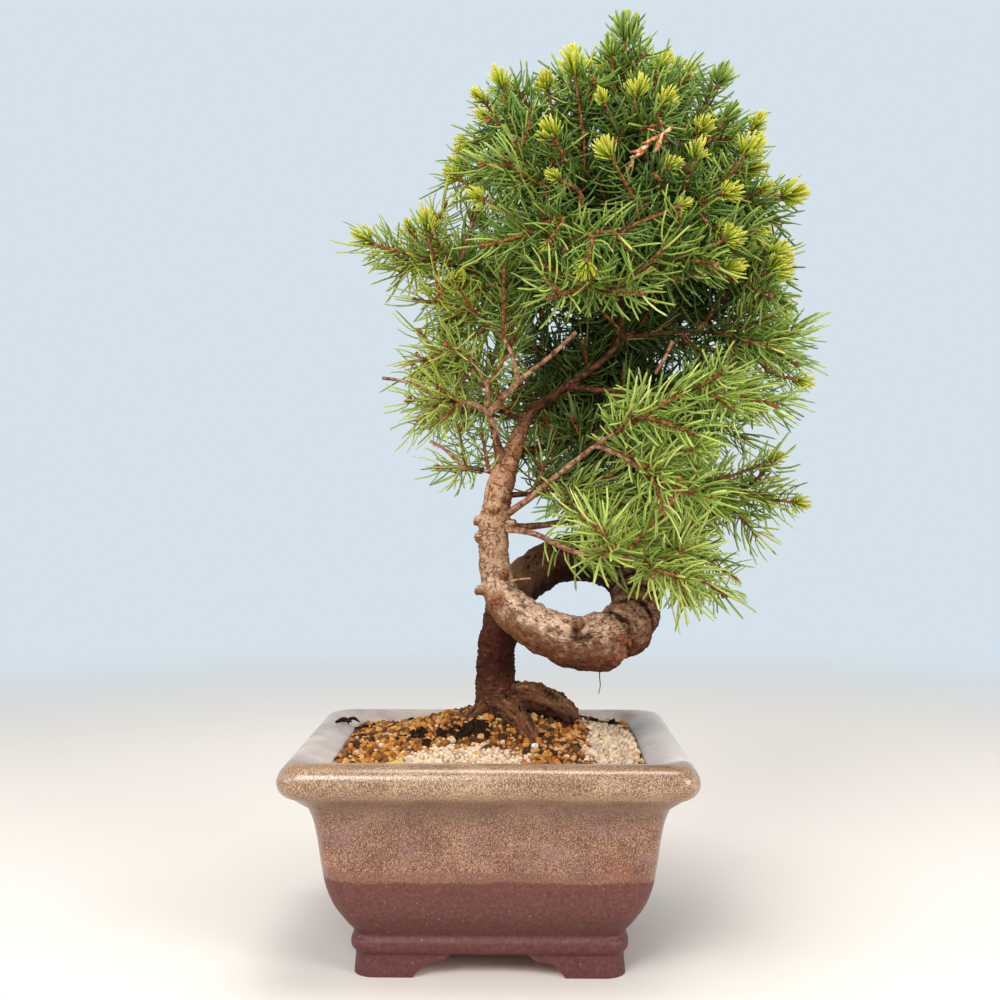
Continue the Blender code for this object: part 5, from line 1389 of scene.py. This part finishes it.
grown = [(place, shoot.group) for shoot in shoots for place in shoot.places[:-3]]
for limb in LIMBS:
    wood = wood_places(limb.wood)
    grown += [(place, group_names[limb.name]) for place in wood[len(wood) // 2:]]
for place in wood_places(LEADER):
    if place[2] > 0.300:
        grown.append((place, "foliage_top"))
for seen in SEEN_SHOOTS:
    tip = place_seen_at(*seen.tip, seen.front)
    root = place_seen_at(*seen.root, seen.front - 5.0)
    back = root - unit(tip - root) * 8.0 * MM
    join, group = min(grown, key=lambda item: np.linalg.norm(item[0] - back))
    shoots.append(Shoot(smooth_line([join, root, tip], 6), group, 1, seen.brush))
    taken_tips.append(tip)
for limb in LIMBS:
    wood = wood_places(limb.wood)
    outer = wood[len(wood) // 4:]
    shoots += extra_shoots(outer, group_names[limb.name], 1, 6.0 * MM, 24.0 * MM, taken_tips)
leader_places = wood_places(LEADER)
upper_leader = leader_places[leader_places[:, 2] > 0.260]
shoots += extra_shoots(upper_leader, "foliage_top", 1, 4.0 * MM, 26.0 * MM, taken_tips)
for level, (spacing, length) in enumerate(GROWTH):
    for shoot in [shoot for shoot in shoots if shoot.level == level]:
        shoots += extra_shoots(shoot.places, shoot.group, level + 1, spacing, length, taken_tips)


def needle_shape(name, curve, slimness):
    """A needle one unit long up Z that curves towards -X, three-sided, with a short blunt point."""
    needle_rings = CURVED_RINGS if curve > 0.3 else STRAIGHT_RINGS
    body = bmesh.new()
    along_layer = body.verts.layers.float.new("along")
    under_layer = body.verts.layers.float.new("under")
    rings = []
    for share, width in needle_rings:
        level = []
        for k in range(3):
            turn = math.tau * (k + 0.25) / 3.0
            vert = body.verts.new((-curve * share * share + math.cos(turn) * slimness / 2.0 * width,
                                   math.sin(turn) * slimness / 2.0 * width, share))
            vert[along_layer] = share
            vert[under_layer] = 1.0 if k == 0 else 0.0
            level.append(vert)
        rings.append(level)
    point = body.verts.new((-curve, 0.0, 1.0))
    point[along_layer] = 1.0
    for lower, upper in zip(rings, rings[1:]):
        for k in range(3):
            body.faces.new((lower[k], lower[(k + 1) % 3], upper[(k + 1) % 3], upper[k]))
    for k in range(3):
        body.faces.new((rings[-1][k], rings[-1][(k + 1) % 3], point))
    body.faces.new(rings[0][::-1])
    return body_object(name, body)


needle_finish, place, shader = finish("needle", roughness=0.42, specular_ior_level=0.35)
tone = attribute(place, "tone")
along = attribute(place, "along")
under = attribute(place, "under")
youth = attribute(place, "youth")
old_green = tone.ramp((0.0, paint(70, 108, 44)), (0.30, paint(102, 140, 54)), (0.65, paint(150, 178, 66)),
                      (1.0, paint(202, 212, 104)))
needle_green = (under * 0.35).blend(old_green, paint(190, 206, 126))
new_green = tone.ramp((0.0, paint(170, 186, 46)), (0.6, paint(204, 208, 62)), (1.0, paint(224, 214, 84)))
fresh = along.ramp((0.0, paint(130, 160, 48)), (0.45, paint(180, 196, 56)), (1.0, paint(226, 212, 88)))
fresh = (tone * 0.5).blend(fresh, new_green)
height = place.part(2)
# Painted light: the needles of the low crown are painted lighter and yellower, for the light that reaches
# them from below.
low_green = tone.ramp((0.0, paint(112, 146, 58)), (0.30, paint(158, 182, 80)), (0.70, paint(200, 214, 106)),
                      (1.0, paint(224, 228, 142)))
needle_green = height.rise(0.310, 0.225).blend(needle_green, low_green)
shaded_green = tone.blend(paint(30, 54, 20), paint(64, 88, 30))
# Painted shade: needles whose youth is below 0 are painted darker.
needle_green = (youth.rise(-0.10, -1.00) * 0.75).blend(needle_green, shaded_green)
needle_green = youth.rise(0.30, 0.95).blend(needle_green, fresh)
needle_green = along.rise(0.13, 0.06).blend(needle_green, paint(150, 96, 52))
plug(needle_green, shader["Base Color"])
glow = place.node("ShaderNodeBsdfTranslucent", {}, {"Color": needle_green})
opaque = Wire(place.tree, shader["Base Color"].node.outputs[0])
needle_look = place.node("ShaderNodeMixShader", {}, {0: NEEDLE_GLOW, 1: opaque, 2: glow})
plug(needle_look, place.tree.nodes["Material Output"].inputs["Surface"])


def youth_and_painted_light(shoot):
    """The youth of a shoot's needles, with painted shade and light in it: below 0 they darken, painted shade
    deep in the crown and behind its low part; past 0.3 they turn a fresh yellow-green, more so low down as
    painted light, and on the left.
    """
    tip = shoot.places[-1]
    seen_x = seen_from_front(tip)[0]
    low = soft_step(-tip[2], -LOW_CROWN * MM, -LOW_CROWN * MM + LOW_FADE)
    fresh = shoot_draw.uniform(0.0, 0.40) + 0.30 * low * shoot_draw.random()
    fresh -= INNER_SHADE * soft_step(-outwardness(tip), -0.88, -0.50) * soft_step(seen_x, 0.0, 30.0)
    behind = soft_step(tip[1] - MIDDLE[1], 6.0 * MM, 34.0 * MM)
    fresh -= BACK_SHADE * low * behind * soft_step(seen_x, 20.0, 40.0)
    return fresh + LEFT_LIGHTER * soft_step(-seen_x, -10.0, 20.0) * (1.0 - low)


twig_lines = []
for group, kind in FOLIAGE.items():
    needle_kinds = group_of("needles", [needle_shape(f"needle_{k}", curve * kind.curl, kind.slimness)
                                        for k, curve in enumerate(NEEDLE_BENDS)])
    needle_values = {"Spacing": kind.spacing * MM, "Smallest": kind.length * 0.85 * MM,
                     "Largest": kind.length * 1.15 * MM, "Seed": 3, "Kinds": len(NEEDLE_BENDS),
                     "Shapes": needle_kinds, "Material": needle_finish}
    group_lines = []
    for shoot in shoots:
        if shoot.group != group:
            continue
        shares = np.linspace(0.0, 1.0, len(shoot.places))
        first, last = YOUNG_LEANS if shoot.brush else LEANS
        reach = 0.88 + 0.24 * np.sin(shares * math.pi * 0.8)
        if shoot.brush:
            reach = reach - 0.42 * shares ** 4
        leans = first + (last - first) * shares ** 1.5
        group_lines.append(Line(shoot.places, TWIG_RADII[1], youth_and_painted_light(shoot), leans, reach))
        radii = (TWIG_RADII[0] if shoot.level == 0 else TWIG_RADII[1] * 1.15) * (1.0 - 0.3 * shares)
        twig_lines.append(Line(shoot.places, radii, 0.45 + 0.55 * shares if shoot.level == 0 else 0.9))
    foliage = grow(group, line_mesh(group, group_lines), round_tree, needle_values)
    clear_group(needle_kinds)
    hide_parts(*["spray_" + limb for limb in kind.limbs])
    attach(foliage, "root")
for marks, front in DRY_TWIGS:
    dry = smooth_line([photo_place(*mark, front) for mark in marks], 4)
    twig_lines.append(Line(dry, TWIG_RADII[1] * 0.9, 0.1))
twigs = grow("twigs", line_mesh("twig_lines", twig_lines), wood_tree,
             {"Sides": 5, "Step": 2.8 * MM, "Knobbly": 0.5, "Material": limb_bark})
twigs.data.shade_smooth()
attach(twigs, "root")

# The new growth: buds that have just broken, each a tight brush of short yellow-green needles standing in
# brown bud scales at the end of a shoot.
BUD_LENGTH = 3.0 * MM
BUD_KINDS = 3
BRUSH_LENGTH = 8.6 * MM
BRUSH_SLIMNESS = 0.125
BRUSH_BENDS = (0.16, 0.22, 0.28, 0.10)
BRUSH_LEANS = (math.radians(72.0), math.radians(13.0))
BRUSH_STEM = 2.4 * MM
BRUSH_NEEDLES = 32
OLD_BRUSHES = [(59, 395), (53, 388), (99, 376), (102, 360), (88, 216), (71, 164)]


def bud_shape(name, seed):
    """A bud one unit long up Z, with overlapping scales."""
    body = bmesh.new()
    bmesh.ops.create_uvsphere(body, u_segments=6, v_segments=4, radius=0.5)
    for vert in body.verts:
        swell = 0.75 + 0.20 * math.sin(vert.co.z * 14.0 + seed)
        vert.co.x *= swell * 0.85
        vert.co.y *= swell * 0.85
        vert.co.z += 0.40
    return body_object(name, body)


brush_lines = []
bud_lines = []
for shoot in shoots:
    end = shoot.places[-1]
    heading = unit(shoot.places[-1] - shoot.places[-2])
    if shoot.brush or shoot_draw.random() < 0.5:
        bud_places = np.array([end - heading * 0.6 * MM, end + heading * 0.2 * MM])
        bud_lines.append(Line(bud_places, TWIG_RADII[1], 1.0, np.array([0.8, 0.1]), 1.0))
    if shoot.brush:
        ends = np.array([end + heading * BRUSH_STEM * share for share in (0.0, 0.5, 1.0)])
        leans = np.linspace(BRUSH_LEANS[0], BRUSH_LEANS[1], 3)
        reach = np.array([0.85, 0.98, 1.0]) * shoot.brush
        at = seen_from_front(end)
        aged = any(np.linalg.norm(at - tip) < 1.0 for tip in OLD_BRUSHES)
        brush_lines.append(Line(ends, TWIG_RADII[1], 0.45 if aged else 1.0, leans, reach))
brush_kinds = group_of("brushes", [needle_shape(f"young_{k}", curve, BRUSH_SLIMNESS)
                                   for k, curve in enumerate(BRUSH_BENDS)])
brush_values = {"Spacing": BRUSH_STEM / BRUSH_NEEDLES, "Smallest": BRUSH_LENGTH * 0.85,
                "Largest": BRUSH_LENGTH * 1.1, "Seed": 8, "Kinds": len(BRUSH_BENDS), "Shapes": brush_kinds,
                "Material": needle_finish}
tufts = grow("new_growth", line_mesh("brush_lines", brush_lines), round_tree, brush_values)
clear_group(brush_kinds)
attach(tufts, "root")

bud_finish, place, shader = finish("bud_scale", roughness=0.6)
bud_tone = place.cloud(900.0, 2.0).ramp((0.35, paint(84, 42, 26)), (0.55, paint(140, 78, 46)),
                                        (0.75, paint(190, 128, 84)))
plug(bud_tone, shader["Base Color"])
bud_kinds = group_of("buds", [bud_shape(f"bud_{k}", k) for k in range(BUD_KINDS)])
buds = grow("buds", line_mesh("bud_lines", bud_lines), round_tree,
            {"Spacing": 0.9 * MM, "Smallest": BUD_LENGTH * 0.75, "Largest": BUD_LENGTH * 1.1, "Seed": 5,
             "Kinds": BUD_KINDS, "Shapes": bud_kinds, "Material": bud_finish})
clear_group(bud_kinds)
buds.data.shade_smooth()
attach(buds, "root")

# What has died or fallen: curled brown scales caught among the needles near the top, with the dry twig that
# they came from, dry needles lower down, and chips of bark, a needle and a clear pebble lying on the soil.
DEAD_TWIG = [(673, 127), (667, 131), (661, 135)]
DEAD_SCALES = [([(662, 134), (658, 146), (652, 155)], 1.1), ([(660, 135), (651, 140), (641, 144)], 1.0),
               ([(650, 144), (640, 150), (630, 152)], 1.2), ([(646, 150), (638, 155), (629, 158)], 1.0),
               ([(647, 129), (654, 131), (661, 134)], 0.5), ([(633, 161), (630, 166), (629, 172)], 0.9)]
DEAD_DEPTHS = (44.0, 46.5, 43.0)
DEAD_NEEDLES = [([(664, 508), (672, 502), (679, 494)], 0.7), ([(667, 500), (674, 497), (680, 493)], 0.6),
                ([(661, 503), (668, 503), (678, 498)], 0.5), ([(678, 474), (681, 484), (679, 494)], 1.3)]
DEAD_NEEDLES_DEPTH = 56.0
THIN_STRIP = 0.25 * MM
BARK_STRIP = 0.7 * MM
PEBBLE = (18.7, -30.0, 91.6)
PEBBLE_SIZE = 3.4 * MM
FALLEN_BARK = [([(-73.0, 27.0, 91.1), (-69.0, 27.5, 92.4), (-65.5, 28.6, 91.0)], 1.1),
               ([(-70.5, 31.0, 91.0), (-68.0, 28.0, 92.0), (-66.5, 25.5, 90.9)], 0.9),
               ([(-69.0, 26.5, 91.4), (-65.0, 29.5, 92.6), (-62.0, 30.0, 90.6)], 0.8)]
FALLEN_NEEDLE = [(-42.0, -52.0, 88.6), (-36.0, -54.0, 89.4), (-30.0, -55.0, 88.9)]


def curled_strip(body, places, width, thick):
    """A closed thin strip along places, widest in its middle, cupped along its length."""
    line = smooth_line(places, 4)
    heading = np.gradient(line, axis=0)
    rings = []
    for k, place in enumerate(line):
        share = k / (len(line) - 1)
        side = unit(np.cross(heading[k], (0.0, -1.0, 0.35)))
        out = unit(np.cross(side, heading[k]))
        half = width * (0.25 + 0.75 * math.sin(math.pi * min(share * 0.9 + 0.08, 1.0)))
        cup = half * 0.5
        under = -thick - cup * 0.2
        edge = [(-half, -cup), (-half * 0.45, 0.0), (half * 0.45, 0.0), (half, -cup), (half * 0.4, under),
                (-half * 0.4, under)]
        rings.append([body.verts.new(Vector(place + side * u + out * v)) for u, v in edge])
    walls(body, rings)


def strips_object(name, strips):
    """An object of curled strips, each a list of places, a width and a thickness, in metres."""
    body = bmesh.new()
    for places, width, thick in strips:
        curled_strip(body, places, width, thick)
    bmesh.ops.recalc_face_normals(body, faces=body.faces)
    return body_object(name, body)


def soil_places(rows):
    """Places given in millimetres from the middle of the pot, in metres."""
    return [np.array(row) * MM + MIDDLE for row in rows]


dead_strips = []
for marks, width in DEAD_SCALES:
    strip = [photo_place(*mark, depth) for mark, depth in zip(marks, DEAD_DEPTHS)]
    dead_strips.append((strip, width * MM, THIN_STRIP))
for marks, width in DEAD_NEEDLES:
    dead_strips.append(([photo_place(*mark, DEAD_NEEDLES_DEPTH) for mark in marks], width * MM, THIN_STRIP))
dead_strips.append(([photo_place(*mark, DEAD_DEPTHS[0]) for mark in DEAD_TWIG], 0.9 * MM, 1.2 * MM))
dead = strips_object("dead_scales", dead_strips)
dead_finish, place, shader = finish("dead_scale", roughness=0.7)
dead_tone = place.cloud(420.0, 4.0, 0.65).ramp((0.36, paint(86, 44, 24)), (0.50, paint(172, 98, 52)),
                                               (0.64, paint(222, 176, 140)))
plug(dead_tone, shader["Base Color"])
dead.data.materials.append(dead_finish)
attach(dead, "root")

fallen_bark = strips_object("fallen_bark", [(soil_places(rows), width * MM, BARK_STRIP)
                                            for rows, width in FALLEN_BARK])
fallen_bark.data.materials.append(char)
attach(fallen_bark, "root")

pebble = lumpy_grain("clear_pebble", 70, 0.85)
pebble.data.transform(Matrix.Translation(Vector(PEBBLE) * MM + Vector(MIDDLE)) @ Matrix.Scale(PEBBLE_SIZE, 4))
pebble_finish, place, shader = finish("clear_pebble", roughness=0.15, coat_weight=0.5)
clear_tone = place.cloud(900.0).ramp((0.35, paint(150, 148, 142)), (0.65, paint(224, 226, 224)))
plug(clear_tone, shader["Base Color"])
pebble.data.materials.append(pebble_finish)
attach(pebble, "root")

fallen = strips_object("fallen_needle", [(soil_places(FALLEN_NEEDLE), 0.5 * MM, BARK_STRIP)])
fallen_finish, place, shader = finish("fallen_needle", roughness=0.5)
plug(place.cloud(300.0).ramp((0.3, paint(140, 160, 40)), (0.7, paint(190, 186, 70))), shader["Base Color"])
fallen.data.materials.append(fallen_finish)
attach(fallen, "root")

# The picture: a plain pale floor that fades out into a pale backdrop, four soft lamps, and the camera where
# the photograph's stood.
FLOOR_REACH = 1.3
FLOOR_TONE = (0.72, 0.66, 0.60, 1.0)
FADE = (0.45, 1.2)
BACKDROP = (0.67, 0.76, 0.83, 1.0)
CEILING = (0.16, 0.16, 0.15, 1.0)
DIMMING = (0.40, 0.75)
LENS = 45.0
SENSOR = 36.0
CAMERA_TURN = (math.radians(90.0), 0.0, math.radians(0.87))
floor_body = bmesh.new()
bmesh.ops.create_circle(floor_body, cap_ends=True, segments=96, radius=FLOOR_REACH)
floor = body_object("floor", floor_body)
floor_finish, place, shader = finish("floor", roughness=0.9)
shader["Base Color"].default_value = FLOOR_TONE
away = place.node("ShaderNodeVectorMath", {"operation": "LENGTH"}, {0: place}, 1)
plug(away.rise(FADE[1], FADE[0]), shader["Alpha"])
floor.data.materials.append(floor_finish)

world = bpy.data.worlds.new("studio")
bpy.context.scene.world = world
world.use_nodes = True
direction = Wire(world.node_tree).node("ShaderNodeTexCoord", {}, {}, 0)
dome = direction.part(2).rise(*DIMMING).blend(BACKDROP, CEILING)
plug(dome, world.node_tree.nodes["Background"].inputs["Color"])


def soft_lamp(name, place, aim, size, power):
    """A square lamp that faces a place."""
    data = bpy.data.lights.new(name, "AREA")
    data.size = size
    data.energy = power
    lamp = new_object(name, data)
    lamp.location = place
    lamp.rotation_euler = (Vector(aim) - Vector(place)).to_track_quat("-Z", "Y").to_euler()


soft_lamp("key", (-0.45, -1.1, 1.1), (0.0, 0.0, 0.2), 0.6, 14.0)
soft_lamp("left", (-1.1, -0.6, 0.6), (0.0, 0.0, 0.25), 0.7, 6.0)
soft_lamp("top", (0.15, -0.1, 1.5), (0.0, 0.0, 0.2), 0.7, 15.0)
soft_lamp("right", (1.1, -0.9, 0.7), (0.0, 0.0, 0.2), 0.7, 13.0)

camera_data = bpy.data.cameras.new("camera")
camera_data.lens = LENS
camera_data.sensor_width = SENSOR
camera = new_object("camera", camera_data)
camera.location = Vector(MIDDLE) + Vector(CAMERA_OFFSET) * MM
camera.rotation_euler = CAMERA_TURN
bpy.context.scene.camera = camera
bpy.context.scene.view_settings.view_transform = "Standard"
